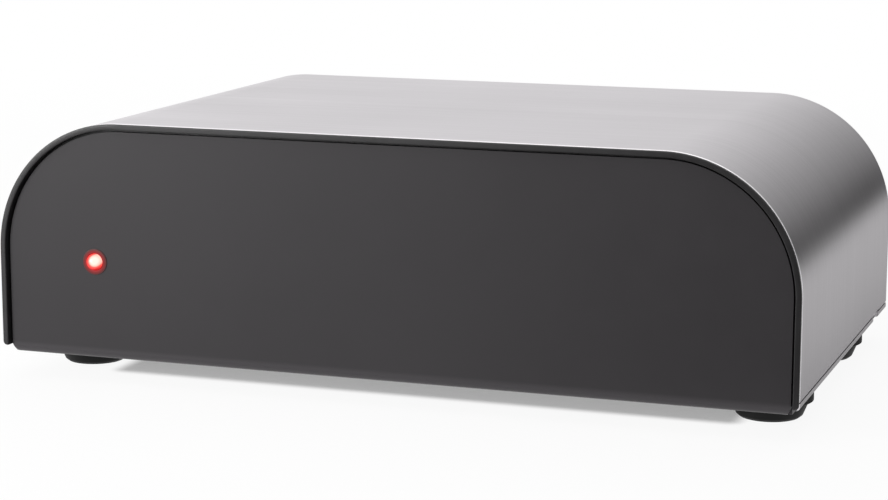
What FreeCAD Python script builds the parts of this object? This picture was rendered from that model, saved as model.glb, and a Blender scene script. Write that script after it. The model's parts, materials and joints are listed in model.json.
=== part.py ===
import FreeCAD, Part
import os
import re

import Sketcher

# Small desk-top phono preamp: a bent steel tray with the front panel, a silver cover
# that drops over it, a dark trim frame between the two, and sockets at the rear.
# Millimetres. +X is the right side seen from the front, +Y the rear, +Z up.
# The origin is the centre of the footprint, at the level the feet stand on.
# Pieces are drawn in the case frame: X from the middle, Y from the front face of the
# trim, Z from the inside face of the tray's floor, which is also the cover's lower edge.

SIZES = {
    # Cover: a silver shell, open below, with inward flanges that rest on the tray
    "case_width": 150.0,
    "cover_height": 42.7,
    "corner_radius": 24.2,
    "cover_wall": 1.5,
    "case_depth": 91.6,
    "flange_reach": 6.0,
    "edge_round": 0.4,
    "edge_bevel": 0.25,
    "groove_height": 1.1,
    "groove_width": 0.3,
    "groove_depth": 0.25,
    "notch_rear_gap": 9.6,
    "notch_length": 6.0,
    "notch_height": 1.6,
    # Trim frame between the cover's front edge and the panel
    "trim_proud": 0.6,
    "rim_width": 1.05,
    "rim_foot": 0.2,
    "rim_end_round": 0.7,
    "rim_edge_round": 0.2,
    "lip_wall": 0.4,
    "trim_fit": 0.05,
    "seat_gap": 0.1,
    "seat_thickness": 1.0,
    "seat_border": 4.0,
    "spigot_reach": 7.0,
    "spigot_wall": 1.5,
    # Tray: front panel and floor bent from one sheet
    "sheet": 1.2,
    "panel_gap": 0.45,
    "panel_recess": 1.0,
    "panel_bend": 1.5,
    "panel_corner_cut": 0.75,
    "panel_corner_rise": 1.5,
    # Rear panel, with a tab that is screwed to the floor
    "rear_recess": 1.0,
    "rear_fit": 0.25,
    "tab_reach": 9.0,
    "tab_side_gap": 19.0,
    # Feet
    "foot_height": 4.8,
    "foot_side_inset": 8.9,
    "foot_front": 20.0,
    "foot_rear_gap": 21.6,
    "foot_base_radius": 5.3,
    "foot_edge_radius": 5.9,
    "foot_edge_height": 0.5,
    "foot_waist_radius": 6.9,
    "foot_collar_radius": 7.7,
    "foot_collar_height": 1.7,
    "foot_flare": 0.2,
    "foot_seat_height": 2.9,
    # Screws: one pan head pattern in several lengths, and a low head under the side walls
    "thread_radius": 1.5,
    "thread_fit": 0.05,
    "screw_clearance": 0.15,
    "head_radius": 2.8,
    "head_height": 1.9,
    "head_round": 0.9,
    "head_room": 0.4,
    "recess_span": 3.0,
    "recess_width": 0.7,
    "recess_depth": 1.1,
    "foot_screw_end": 2.0,
    "cover_screw_front": 35.0,
    "cover_screw_rear_gap": 36.6,
    "cover_screw_end": 0.6,
    "cover_head_radius": 2.2,
    "cover_head_height": 0.9,
    "cover_head_round": 0.4,
    "tab_screw_x": 28.0,
    "tab_screw_inset": 5.5,
    "tab_screw_end": 1.2,
    "socket_screw_radius": 1.2,
    "socket_screw_length": 6.0,
    "socket_head_radius": 2.0,
    "socket_head_height": 1.4,
    "socket_head_round": 0.7,
    "small_recess_span": 2.4,
    "small_recess_width": 0.5,
    "small_recess_depth": 0.8,
    # Circuit board and its stand-offs
    "board_side_gap": 9.0,
    "board_front": 6.5,
    "board_rear_gap": 1.5,
    "board_thickness": 1.6,
    "board_hole_inset": 5.0,
    "standoff_height": 5.0,
    "standoff_radius": 2.75,
    "standoff_stub": 2.0,
    "standoff_floor": 0.6,
    "board_screw_end": 3.4,
    # Power lamp in the panel
    "lamp_side_gap": 19.1,
    "lamp_height": 17.0,
    "lamp_radius": 1.5,
    "lamp_tip_flat": 0.1,
    "lamp_body": 4.0,
    "lamp_base_radius": 1.9,
    "lamp_base_length": 1.0,
    "lamp_fit": 0.05,
    "clip_wall": 0.55,
    "clip_lip_reach": 0.3,
    "clip_lip": 0.2,
    "clip_tail": 1.6,
    "leg_pitch": 2.54,
    "leg_width": 0.5,
    "leg_run": 4.0,
    "leg_tail": 1.5,
    "lead_hole_fit": 0.2,
    # Phono sockets: a housing with two stacked barrels
    "input_side_gap": 27.0,
    "output_pitch": 44.0,
    "housing_half_width": 5.5,
    "housing_height": 27.0,
    "housing_depth": 12.0,
    "socket_first_height": 7.0,
    "socket_pitch": 14.0,
    "barrel_radius": 4.15,
    "barrel_wall": 0.5,
    "barrel_length": 8.8,
    "barrel_shoulder": 0.25,
    "barrel_root": 2.0,
    "barrel_edge_round": 0.2,
    "barrel_clearance": 0.1,
    "moulding_fit": 0.05,
    "insert_recess": 0.9,
    "pin_bore": 1.65,
    "contact_wall": 0.35,
    "contact_length": 6.0,
    # Power inlet
    "inlet_side_gap": 27.0,
    "inlet_half_width": 4.5,
    "inlet_height": 11.0,
    "inlet_depth": 13.0,
    "inlet_axis_height": 6.5,
    "inlet_nose_radius": 3.95,
    "inlet_bore": 3.15,
    "inlet_bore_depth": 10.0,
    "inlet_pin_radius": 1.05,
    "inlet_pin_recess": 0.5,
    "inlet_pin_round": 0.6,
    "inlet_hole_fit": 0.15,
    # Ground terminal
    "ground_pitch": 22.0,
    "stud_radius": 1.95,
    "stud_reach": 13.0,
    "stud_inner": 5.0,
    "stud_bevel": 0.4,
    "collar_radius": 4.2,
    "collar_thickness": 2.0,
    "running_fit": 0.05,
    "washer_radius": 4.5,
    "washer_thickness": 0.8,
    "knob_radius": 4.75,
    "knob_length": 8.0,
    "knob_neck_radius": 3.9,
    "knob_neck_length": 1.2,
    "knob_dish_radius": 3.2,
    "knob_dish_depth": 0.6,
    "knurl_depth": 0.3,
    "knurl_half_width": 0.32,
    "knurl_count": 24,
    "inner_nut_flat": 7.0,
    "inner_nut_height": 2.6,
    "tag_thickness": 0.8,
    "tag_radius": 4.0,
    "tag_half_width": 2.0,
    "tag_foot": 5.0,
    # Amplifier chips in sockets
    "chip_x": 19.0,
    "chip_row_pitch": 18.0,
    "chip_half_length": 4.7,
    "chip_half_width": 3.2,
    "chip_height": 3.4,
    "chip_notch": 0.9,
    "chip_socket_margin": 0.7,
    "chip_socket_height": 4.2,
    "chip_socket_window": 1.6,
    # Reservoir capacitors
    "reservoir_side_gap": 28.0,
    "reservoir_gap": 7.7,
    "reservoir_pitch": 13.0,
    "reservoir_radius": 5.0,
    "reservoir_height": 16.0,
    "reservoir_round": 0.6,
    "reservoir_groove_height": 1.8,
    "reservoir_groove": 0.4,
    # Film capacitors
    "film_half_length": 3.6,
    "film_half_width": 2.4,
    "film_height": 9.5,
    "film_edge": 0.5,
    "film_x": 34.0,
    "film_gap": 10.1,
    "film_pitch": 8.0,
    "filter_half_length": 3.6,
    "filter_half_width": 1.3,
    "filter_height": 6.5,
    "filter_x": 31.0,
    "filter_pitch": 5.0,
    # Resistors and diodes lie on bent legs
    "resistor_length": 6.3,
    "resistor_radius": 1.15,
    "resistor_waist": 0.95,
    "resistor_cap": 1.4,
    "lead_span": 10.2,
    "resistor_x": 8.0,
    "resistor_y": 20.0,
    "resistor_pitch": 5.0,
    "diode_length": 4.6,
    "diode_radius": 1.0,
    "diode_gap": 11.0,
    "diode_y": 33.0,
    "diode_pitch": 4.0,
    "wire_width": 0.6,
    # Voltage regulators
    "regulator_edge_gap": 6.0,
    "regulator_pitch": 12.0,
    "regulator_half_width": 5.0,
    "regulator_thickness": 4.5,
    "regulator_height": 9.0,
    "regulator_lift": 3.0,
    "regulator_tab": 1.3,
    "regulator_tab_height": 15.5,
    "regulator_hole": 1.8,
    "regulator_hole_drop": 2.8,
    "regulator_leg_pitch": 2.54,
    "regulator_leg_width": 0.8,
    # How far a cutting shape runs past what it cuts
    "overrun": 1.0,
}

# Places that several pieces share, as formulas on the sheet
CASE_LIFT = "foot_height + sheet"
LAMP_REACH = "max(0; lamp_radius - panel_recess)"
REAR_FACE = "(case_depth - rear_recess)"
REAR_INNER = "(case_depth - rear_recess - sheet)"
CASE_SHIFT = "(%s - %s - stud_reach) / 2" % (LAMP_REACH, REAR_FACE)
PANEL_INSET = "(rim_width + panel_gap)"
PANEL_BACK = "(panel_recess + sheet)"
SEAT_START = "(panel_recess + sheet + seat_gap)"
SEAT_END = "(panel_recess + sheet + seat_gap + seat_thickness)"
FOOT_X = "(case_width / 2 - foot_side_inset)"
FOOT_REAR = "(case_depth - foot_rear_gap)"
COVER_SCREW_X = "(case_width / 2 - (cover_wall + flange_reach) / 2)"
COVER_SCREW_REAR = "(case_depth - cover_screw_rear_gap)"
LAMP_X = "(case_width / 2 - lamp_side_gap)"
BOARD_SIDE = "(case_width / 2 - board_side_gap)"
TAB_SIDE = "(case_width / 2 - tab_side_gap)"
BOARD_TOP = "(standoff_height + board_thickness)"
BOARD_REAR = "(case_depth - rear_recess - sheet - board_rear_gap)"
BOARD_HOLE_X = "(case_width / 2 - board_side_gap - board_hole_inset)"
BOARD_HOLE_FRONT = "(board_front + board_hole_inset)"
BOARD_HOLE_REAR = "(case_depth - rear_recess - sheet - board_rear_gap - board_hole_inset)"
TAB_SCREW_Y = "(case_depth - rear_recess - tab_screw_inset)"
SOCKET_LOW = "(standoff_height + board_thickness + socket_first_height)"
SOCKET_HIGH = "(standoff_height + board_thickness + socket_first_height + socket_pitch)"
SOCKET_MIDDLE = "(standoff_height + board_thickness + socket_first_height + socket_pitch / 2)"
INLET_Z = "(standoff_height + board_thickness + inlet_axis_height)"
INPUT_X = "(case_width / 2 - input_side_gap)"
OUTPUT_X = "(case_width / 2 - input_side_gap - output_pitch)"
GROUND_X = "(case_width / 2 - input_side_gap - ground_pitch)"
INLET_X = "(-(case_width / 2 - inlet_side_gap))"
RESERVOIR_X = "(-(case_width / 2 - reservoir_side_gap))"
RESERVOIR_Y = "(%s - inlet_depth - reservoir_gap - reservoir_radius)" % REAR_INNER
FILM_Y = "(%s - housing_depth - film_gap - film_half_length)" % REAR_INNER
CHIP_Y = "(%s - chip_row_pitch)" % FILM_Y
REGULATOR_X = "(-(case_width / 2 - board_side_gap - regulator_edge_gap))"
DIODE_X = "(%s + diode_gap)" % REGULATOR_X
CLIP_RADIUS = "(lamp_radius + lamp_fit + clip_wall)"
THREAD_HOLE = "(thread_radius + thread_fit)"
CLEAR_HOLE = "(thread_radius + screw_clearance)"
STUD_HOLE = "(stud_radius + running_fit)"

FORWARD = FreeCAD.Rotation(FreeCAD.Vector(1, 0, 0), 90)
REARWARD = FreeCAD.Rotation(FreeCAD.Vector(1, 0, 0), -90)
DOWNWARD = FreeCAD.Rotation(FreeCAD.Vector(1, 0, 0), 180)
UPRIGHT = FreeCAD.Rotation()
QUARTER = FreeCAD.Rotation(FreeCAD.Vector(0, 0, 1), 90)

doc = FreeCAD.newDocument("PhonoPreamp")
sheet = doc.addObject("Spreadsheet::Sheet", "Sizes")
for row, (size_name, size_value) in enumerate(SIZES.items(), start=1):
    sheet.set("A%d" % row, size_name)
    sheet.set("B%d" % row, str(size_value))
    sheet.setAlias("B%d" % row, size_name)
doc.recompute()

parts = []


def formula(text):
    """The text with each size's name turned into a reference to its cell."""
    def cell(word):
        return "Sizes." + word.group() if word.group() in SIZES else word.group()
    return re.sub(r"[a-z_]+", cell, text)


def number(text):
    """The formula's present value."""
    return float(sheet.evalExpression(formula(text)))


def pin(sketch, geometry, end, across, up):
    """Fixes one end or centre of a line or curve at a place worked out from the sheet."""
    for kind, text in (("DistanceX", across), ("DistanceY", up)):
        rule = Sketcher.Constraint(kind, -1, 1, geometry, end, number(text))
        index = sketch.addConstraint(rule)
        sketch.setExpression("Constraints[%d]" % index, formula(text))


def toward(corner, here, other):
    """The point one corner radius along a square edge from the corner to its neighbour."""
    shift = []
    for place, start, stop in zip(corner, here, other):
        step = (stop > start + 1e-9) - (stop < start - 1e-9)
        shift.append("(%s) + (%d) * (%s)" % (place, step, corner[2]))
    return tuple(shift)


def outline(sketch, corners):
    """A closed outline. A corner with a third entry is rounded with that radius."""
    spots = [(number(corner[0]), number(corner[1])) for corner in corners]
    count = len(corners)
    stops = []
    for index, corner in enumerate(corners):
        if len(corner) == 2:
            stops.append([corner])
            continue
        before = toward(corner, spots[index], spots[index - 1])
        after = toward(corner, spots[index], spots[(index + 1) % count])
        stops.append([before, after])
    lines = []
    for index in range(count):
        start = stops[index][-1]
        stop = stops[(index + 1) % count][0]
        ends = [FreeCAD.Vector(number(spot[0]), number(spot[1]), 0) for spot in (start, stop)]
        lines.append(sketch.addGeometry(Part.LineSegment(*ends), False))
        pin(sketch, lines[-1], 1, *start)
    for index, corner in enumerate(corners):
        before, after = lines[index - 1], lines[index]
        if len(corner) == 2:
            sketch.addConstraint(Sketcher.Constraint("Coincident", before, 2, after, 1))
            continue
        pin(sketch, before, 2, *stops[index][0])
        rounding(sketch, spots[index], stops[index], before, after)


def rounding(sketch, corner, stops, before, after):
    """The arc that joins two lines at a rounded corner."""
    first, last = [FreeCAD.Vector(number(stop[0]), number(stop[1]), 0) for stop in stops]
    centre = first + last - FreeCAD.Vector(corner[0], corner[1], 0)
    left_turn = (first - centre).cross(last - centre).z > 0
    begin, finish = (first, last) if left_turn else (last, first)
    across = FreeCAD.Vector(1, 0, 0)
    angles = [across.getAngle(spot - centre) for spot in (begin, finish)]
    turns = [angle if (spot - centre).y >= 0 else -angle for angle, spot in zip(angles, (begin, finish))]
    circle = Part.Circle(centre, FreeCAD.Vector(0, 0, 1), (first - centre).Length)
    arc = sketch.addGeometry(Part.ArcOfCircle(circle, turns[0], turns[1]), False)
    near, far = (1, 2) if left_turn else (2, 1)
    sketch.addConstraint(Sketcher.Constraint("Tangent", before, 2, arc, near))
    sketch.addConstraint(Sketcher.Constraint("Coincident", arc, far, after, 1))


def circle(sketch, across, up, radius):
    """A circle at a place worked out from the sheet."""
    centre = FreeCAD.Vector(number(across), number(up), 0)
    shape = Part.Circle(centre, FreeCAD.Vector(0, 0, 1), number(radius))
    index = sketch.addGeometry(shape, False)
    pin(sketch, index, 3, across, up)
    rule = sketch.addConstraint(Sketcher.Constraint("Radius", index, number(radius)))
    sketch.setExpression("Constraints[%d]" % rule, formula(radius))


def rectangle(left, right, low, high):
    """The four corners of a rectangle."""
    return [(left, low), (right, low), (right, high), (left, high)]


def arch(inset, bottom, bottom_round=None):
    """The case's front outline moved inwards: square below, large round corners above."""
    side = "(case_width / 2 - (%s))" % inset
    top = "cover_height - (%s)" % inset
    radius = "corner_radius - (%s)" % inset
    low = [("-" + side, bottom), (side, bottom)]
    if bottom_round:
        low = [corner + (bottom_round,) for corner in low]
    return low + [(side, top, radius), ("-" + side, top, radius)]


def arch_band(outer, inner, bottom, end_round=None):
    """An upside-down U between two insets from the case's front outline."""
    corners = arch(inner, bottom)
    band = [corners[1], corners[2], corners[3], corners[0]]
    edge = arch(outer, bottom, end_round)
    return [edge[0], band[3], band[2], band[1], band[0], edge[1], edge[2], edge[3]]


def hollow(fit, bottom):
    """The room inside the cover: its walls above, and the gap between its flanges below."""
    gap = "(case_width / 2 - flange_reach - %s)" % fit
    step = "cover_wall + %s" % fit
    low_left, low_right, right, left = arch(step, step)
    return [("-" + gap, bottom), (gap, bottom), (gap, step), low_right, right,
            left, low_left, ("-" + gap, step)]


def new_body(label):
    """An empty body with its name."""
    body = doc.addObject("PartDesign::Body", label)
    body.Label = label
    return body


def new_sketch(body, plane, start):
    """A sketch on one of the body's own planes, moved along to where the feature starts."""
    sketch = body.newObject("Sketcher::SketchObject", "Outline")
    support = [item for item in body.Origin.OriginFeatures if item.Role == plane][0]
    sketch.AttachmentSupport = [(support, "")]
    sketch.MapMode = "FlatFace"
    sign = "-" if plane == "XZ_Plane" else ""
    sketch.setExpression("AttachmentOffset.Base.z", formula("%s(%s)" % (sign, start)))
    return sketch


def draw(sketch, shapes):
    """Draws each shape: three entries are a circle, a list of corners is an outline."""
    for shape in shapes:
        if isinstance(shape, tuple):
            circle(sketch, *shape)
        else:
            outline(sketch, shape)


def add(body, plane, start, length, shapes):
    """Adds material from the start plane towards +X, +Y or +Z."""
    sketch = new_sketch(body, plane, start)
    draw(sketch, shapes)
    pad = body.newObject("PartDesign::Pad", "Pad")
    pad.Profile = sketch
    pad.Reversed = plane == "XZ_Plane"
    pad.setExpression("Length", formula(length))
    doc.recompute()
    return pad


def cut(body, plane, start, length, shapes):
    """Takes material away from the start plane towards +X, +Y or +Z."""
    before = body.Shape.Volume
    sketch = new_sketch(body, plane, start)
    draw(sketch, shapes)
    pocket = body.newObject("PartDesign::Pocket", "Pocket")
    pocket.Profile = sketch
    pocket.Reversed = plane != "XZ_Plane"
    pocket.setExpression("Length", formula(length))
    doc.recompute()
    if not body.Shape.Volume < before - 1e-6:
        raise RuntimeError("a cut in %s took nothing away" % body.Label)
    return pocket


def turned(label, corners):
    """A body of revolution about its own Z axis, from corners of radius and height."""
    body = new_body(label)
    sketch = new_sketch(body, "XZ_Plane", "0")
    outline(sketch, corners)
    turn = body.newObject("PartDesign::Revolution", "Turn")
    turn.Profile = sketch
    turn.ReferenceAxis = (sketch, ["V_Axis"])
    turn.Angle = 360.0
    doc.recompute()
    return body


def edges_at(feature, y):
    """Names of a feature's edges that lie in the plane at this distance from the front."""
    names = []
    for index, edge in enumerate(feature.Shape.Edges, start=1):
        box = edge.BoundBox
        if abs(box.YMin - y) < 1e-6 and abs(box.YMax - y) < 1e-6:
            names.append("Edge%d" % index)
    return names


def place(item, x="0", y="0", z="0", turn=UPRIGHT):
    """Puts an object, drawn in the case frame, at its place in the part's own frame."""
    item.Placement = FreeCAD.Placement(FreeCAD.Vector(0, 0, 0), turn)
    item.setExpression("Placement.Base.x", formula(x))
    item.setExpression("Placement.Base.y", formula("(%s) + (%s)" % (y, CASE_SHIFT)))
    item.setExpression("Placement.Base.z", formula("(%s) + (%s)" % (z, CASE_LIFT)))


def keep(item, *spot, **turn):
    """Places a finished piece and lists it for export."""
    place(item, *spot, **turn)
    parts.append(item)


def keep_group(label, model, spots):
    """A set of equal pieces: copies of one model, each at its own place."""
    copies = []
    for spot in spots:
        copy = doc.addObject("App::Link", label + "_copy")
        copy.LinkedObject = model
        place(copy, *spot)
        copies.append(copy)
    group = doc.addObject("Part::Compound", label)
    group.Label = label
    group.Links = copies
    parts.append(group)


def cross(span, width):
    """The outline of a cross recess."""
    far, near = "(%s) / 2" % span, "(%s) / 2" % width
    return [("-" + far, "-" + near), ("-" + near, "-" + near), ("-" + near, "-" + far),
            (near, "-" + far), (near, "-" + near), (far, "-" + near),
            (far, near), (near, near), (near, far),
            ("-" + near, far), ("-" + near, near), ("-" + far, near)]


def screw(label, thread, length, head, height, rounding_radius, recess):
    """A pan head screw along Z, with the underside of its head at zero."""
    profile = [("0", "-(%s)" % length), (thread, "-(%s)" % length), (thread, "0"), (head, "0"),
               (head, height, rounding_radius), ("0", height)]
    body = turned(label, profile)
    span, width, depth = recess
    cut(body, "XY_Plane", "%s - %s" % (height, depth), "%s + overrun" % depth, [cross(span, width)])
    return body


def case_screw(label, length):
    """The case's own screw pattern at the given length under the head."""
    recess = ("recess_span", "recess_width", "recess_depth")
    return screw(label, "thread_radius", length, "head_radius", "head_height", "head_round", recess)


def four(x, front, rear):
    """The four corners of a rectangular pattern that is centred across the case."""
    return [(side + x, y) for y in (front, rear) for side in ("-", "")]


def make_cover():
    """Silver shell with inward flanges, a thinner front lip, a fine groove and notches."""
    cover = new_body("cover")
    length = "case_depth - trim_proud"
    shell = add(cover, "XZ_Plane", "trim_proud", length, [arch("0", "0", "edge_round")])
    bevel = cover.newObject("PartDesign::Chamfer", "FrontBevel")
    bevel.Base = (shell, edges_at(shell, number("trim_proud")))
    bevel.setExpression("Size", formula("edge_bevel"))
    doc.recompute()
    cut(cover, "XZ_Plane", "trim_proud - overrun", "case_depth + 2 * overrun",
        [hollow("0", "-overrun")])
    rebate = "%s + trim_fit - trim_proud + overrun" % SEAT_END
    cut(cover, "XZ_Plane", "trim_proud - overrun", rebate, [arch("lip_wall", "-overrun")])
    low, high = "groove_height", "groove_height + groove_width"
    near, far = "(case_width / 2 - groove_depth)", "(case_width / 2 + overrun)"
    cut(cover, "XZ_Plane", "trim_proud - overrun", "case_depth + 2 * overrun",
        [rectangle(near, far, low, high), rectangle("-" + far, "-" + near, low, high)])
    near = "(case_width / 2 - cover_wall)"
    last = "(case_depth - notch_rear_gap)"
    first = last + " - notch_length"
    cut(cover, "XY_Plane", "-overrun", "notch_height + overrun",
        [rectangle(near, far, first, last), rectangle("-" + far, "-" + near, first, last)])
    holes = four(COVER_SCREW_X, "cover_screw_front", COVER_SCREW_REAR)
    cut(cover, "XY_Plane", "-overrun", "cover_wall + 2 * overrun",
        [hole + (THREAD_HOLE,) for hole in holes])
    keep(cover)


def make_bezel():
    """Dark trim frame: a rim in front of the cover, a seat behind the panel, a spigot."""
    bezel = new_body("front_bezel")
    rim = add(bezel, "XZ_Plane", "0", "trim_proud", [arch_band("0", "rim_width", "rim_foot", "rim_end_round")])
    soft = bezel.newObject("PartDesign::Fillet", "RimEdge")
    soft.Base = (rim, edges_at(rim, 0.0))
    soft.setExpression("Radius", formula("rim_edge_round"))
    doc.recompute()
    leg = "(lip_wall + trim_fit)"
    add(bezel, "XZ_Plane", "trim_proud", "%s - trim_proud" % SEAT_END,
        [arch_band(leg, "rim_width", "rim_foot")])
    add(bezel, "XZ_Plane", SEAT_START, "seat_thickness",
        [arch_band(leg, "%s + seat_border" % PANEL_INSET, "rim_foot")])
    spigot = "(cover_wall + trim_fit)"
    add(bezel, "XZ_Plane", SEAT_END, "spigot_reach",
        [arch_band(spigot, "%s + spigot_wall" % spigot, "cover_wall + rim_foot")])
    keep(bezel)


def make_tray():
    """Front panel and floor bent from one sheet, with the lamp hole and the screw holes."""
    tray = new_body("chassis_tray")
    side = "(case_width / 2 - %s)" % PANEL_INSET
    top = "(cover_height - %s)" % PANEL_INSET
    profile = [("panel_recess", top), ("panel_recess", "-sheet", "panel_bend"),
               (REAR_FACE, "-sheet"), (REAR_FACE, "0"),
               (PANEL_BACK, "0", "panel_bend - sheet"), (PANEL_BACK, top)]
    add(tray, "YZ_Plane", "-" + side, "2 * " + side, [profile])
    step = "(%s - panel_corner_cut)" % side
    radius = "corner_radius - %s" % PANEL_INSET
    shoulder = "panel_corner_rise - sheet"
    face = [("-" + step, "-sheet - overrun"), (step, "-sheet - overrun"), (step, "-sheet"),
            (side, shoulder), (side, top, radius), ("-" + side, top, radius),
            ("-" + side, shoulder), ("-" + step, "-sheet")]
    around = rectangle("-case_width", "case_width", "-sheet - 2 * overrun", "cover_height + overrun")
    cut(tray, "XZ_Plane", "panel_recess - overrun", "panel_bend + overrun", [around, face])
    cut(tray, "XZ_Plane", "panel_recess - overrun", "sheet + 2 * overrun",
        [("-" + LAMP_X, "lamp_height", "%s + moulding_fit" % CLIP_RADIUS)])
    holes = [spot + (CLEAR_HOLE,) for spot in four(FOOT_X, "foot_front", FOOT_REAR)]
    holes += [spot + (CLEAR_HOLE,)
              for spot in four(COVER_SCREW_X, "cover_screw_front", COVER_SCREW_REAR)]
    holes += [spot + ("standoff_stub + moulding_fit",)
              for spot in four(BOARD_HOLE_X, BOARD_HOLE_FRONT, BOARD_HOLE_REAR)]
    holes += [(x, TAB_SCREW_Y, CLEAR_HOLE) for x in ("-tab_screw_x", "tab_screw_x")]
    cut(tray, "XY_Plane", "-sheet - overrun", "sheet + 2 * overrun", holes)
    keep(tray)


def make_rear_panel():
    """Sheet with the socket holes, and a tab bent forward on to the floor."""
    panel = new_body("rear_panel")
    add(panel, "XZ_Plane", REAR_INNER, "sheet", [hollow("rear_fit", "0")])
    tab = rectangle("-" + TAB_SIDE, TAB_SIDE, "%s - tab_reach" % REAR_FACE, REAR_INNER)
    add(panel, "XY_Plane", "0", "sheet", [tab])
    barrel = "barrel_radius + barrel_shoulder + barrel_clearance"
    holes = [(x, z, barrel) for x in (INPUT_X, OUTPUT_X) for z in (SOCKET_LOW, SOCKET_HIGH)]
    holes += [(x, SOCKET_MIDDLE, "socket_screw_radius + screw_clearance")
              for x in (INPUT_X, OUTPUT_X)]
    holes += [(GROUND_X, SOCKET_MIDDLE, STUD_HOLE)]
    holes += [(INLET_X, INLET_Z, "inlet_nose_radius + inlet_hole_fit")]
    cut(panel, "XZ_Plane", "%s - overrun" % REAR_INNER, "sheet + 2 * overrun", holes)
    cut(panel, "XY_Plane", "-overrun", "sheet + 2 * overrun",
        [(x, TAB_SCREW_Y, THREAD_HOLE) for x in ("-tab_screw_x", "tab_screw_x")])
    keep(panel)


def make_feet():
    """Four rubber feet with a wide collar, and the screws that hold them."""
    waist = "(foot_height - foot_collar_height - foot_flare)"
    profile = [("head_radius + head_room", "0"), ("foot_base_radius", "0"),
               ("foot_edge_radius", "foot_edge_height"), ("foot_waist_radius", waist),
               ("foot_collar_radius", "foot_height - foot_collar_height"),
               ("foot_collar_radius", "foot_height"), (CLEAR_HOLE, "foot_height"),
               (CLEAR_HOLE, "foot_seat_height"), ("head_radius + head_room", "foot_seat_height")]
    names = ("foot_front_left", "foot_front_right", "foot_rear_left", "foot_rear_right")
    spots = four(FOOT_X, "foot_front", FOOT_REAR)
    for name, (x, y) in zip(names, spots):
        keep(turned(name, profile), x, y, "-sheet - foot_height")
    length = "foot_height - foot_seat_height + sheet + foot_screw_end"
    model = case_screw("foot_screw_model", length)
    seat = "-sheet - foot_height + foot_seat_height"
    keep_group("foot_screws", model, [(x, y, seat, DOWNWARD) for x, y in spots])


def make_case_screws():
    """Screws from below: four into the cover's flanges, two into the rear panel's tab."""
    recess = ("small_recess_span", "small_recess_width", "small_recess_depth")
    model = screw("cover_screw_model", "thread_radius", "sheet + cover_wall + cover_screw_end",
                  "cover_head_radius", "cover_head_height", "cover_head_round", recess)
    spots = four(COVER_SCREW_X, "cover_screw_front", COVER_SCREW_REAR)
    keep_group("cover_screws", model, [(x, y, "-sheet", DOWNWARD) for x, y in spots])
    model = case_screw("tab_screw_model", "2 * sheet + tab_screw_end")
    spots = [(x, TAB_SCREW_Y, "-sheet", DOWNWARD) for x in ("-tab_screw_x", "tab_screw_x")]
    keep_group("rear_panel_screws", model, spots)


def make_board():
    """Circuit board on four pressed-in stand-offs, held by four screws."""
    board = new_body("circuit_board")
    plate = rectangle("-" + BOARD_SIDE, BOARD_SIDE, "board_front", BOARD_REAR)
    add(board, "XY_Plane", "standoff_height", "board_thickness", [plate])
    spots = four(BOARD_HOLE_X, BOARD_HOLE_FRONT, BOARD_HOLE_REAR)
    leg_y = "panel_recess + lamp_body + leg_run"
    holes = [spot + (CLEAR_HOLE,) for spot in spots]
    holes += [("-%s %s leg_pitch / 2" % (LAMP_X, sign), leg_y, "leg_width / 2 + lead_hole_fit")
              for sign in "+-"]
    for x, y in resistor_spots() + diode_spots():
        holes += [(x, "%s %s lead_span / 2" % (y, sign), "wire_width / 2 + lead_hole_fit")
                  for sign in "+-"]
    cut(board, "XY_Plane", "standoff_height - overrun", "board_thickness + 2 * overrun", holes)
    keep(board)
    profile = [("0", "-sheet"), ("standoff_stub", "-sheet"), ("standoff_stub", "0"),
               ("standoff_radius", "0"), ("standoff_radius", "standoff_height"),
               (THREAD_HOLE, "standoff_height"), (THREAD_HOLE, "standoff_floor"),
               ("0", "standoff_floor")]
    model = turned("standoff_model", profile)
    keep_group("board_standoffs", model, [(x, y, "0") for x, y in spots])
    model = case_screw("board_screw_model", "board_thickness + board_screw_end")
    keep_group("board_screws", model, [(x, y, BOARD_TOP) for x, y in spots])


def make_lamp():
    """Round-nosed power lamp in a clip in the panel, with two legs bent down to the board."""
    tip = "(lamp_body + lamp_radius)"
    profile = [("0", "0"), ("lamp_base_radius", "0"), ("lamp_base_radius", "lamp_base_length"),
               ("lamp_radius", "lamp_base_length"),
               ("lamp_radius", tip, "lamp_radius - lamp_tip_flat"), ("0", tip)]
    lamp = turned("power_lamp", profile)
    keep(lamp, "-" + LAMP_X, "panel_recess + lamp_body", "lamp_height", turn=FORWARD)
    bore, tail = "lamp_radius + lamp_fit", "-sheet - clip_tail"
    lip_radius = CLIP_RADIUS + " + clip_lip_reach"
    profile = [(bore, tail), (CLIP_RADIUS, tail), (CLIP_RADIUS, "0"), (lip_radius, "0"),
               (lip_radius, "clip_lip"), (bore, "clip_lip")]
    clip = turned("lamp_clip", profile)
    keep(clip, "-" + LAMP_X, "panel_recess", "lamp_height", turn=FORWARD)
    leg = new_body("lamp_leg_model")
    start, bend = "panel_recess + lamp_body", "panel_recess + lamp_body + leg_run"
    low, high = "lamp_height - leg_width / 2", "lamp_height + leg_width / 2"
    near, far = bend + " - leg_width / 2", bend + " + leg_width / 2"
    end = "standoff_height - leg_tail"
    shape = [(start, low), (near, low), (near, end), (far, end), (far, high), (start, high)]
    add(leg, "YZ_Plane", "-leg_width / 2", "leg_width", [shape])
    spots = [("-%s %s leg_pitch / 2" % (LAMP_X, sign), "0", "0") for sign in "+-"]
    keep_group("lamp_legs", leg, spots)


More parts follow.
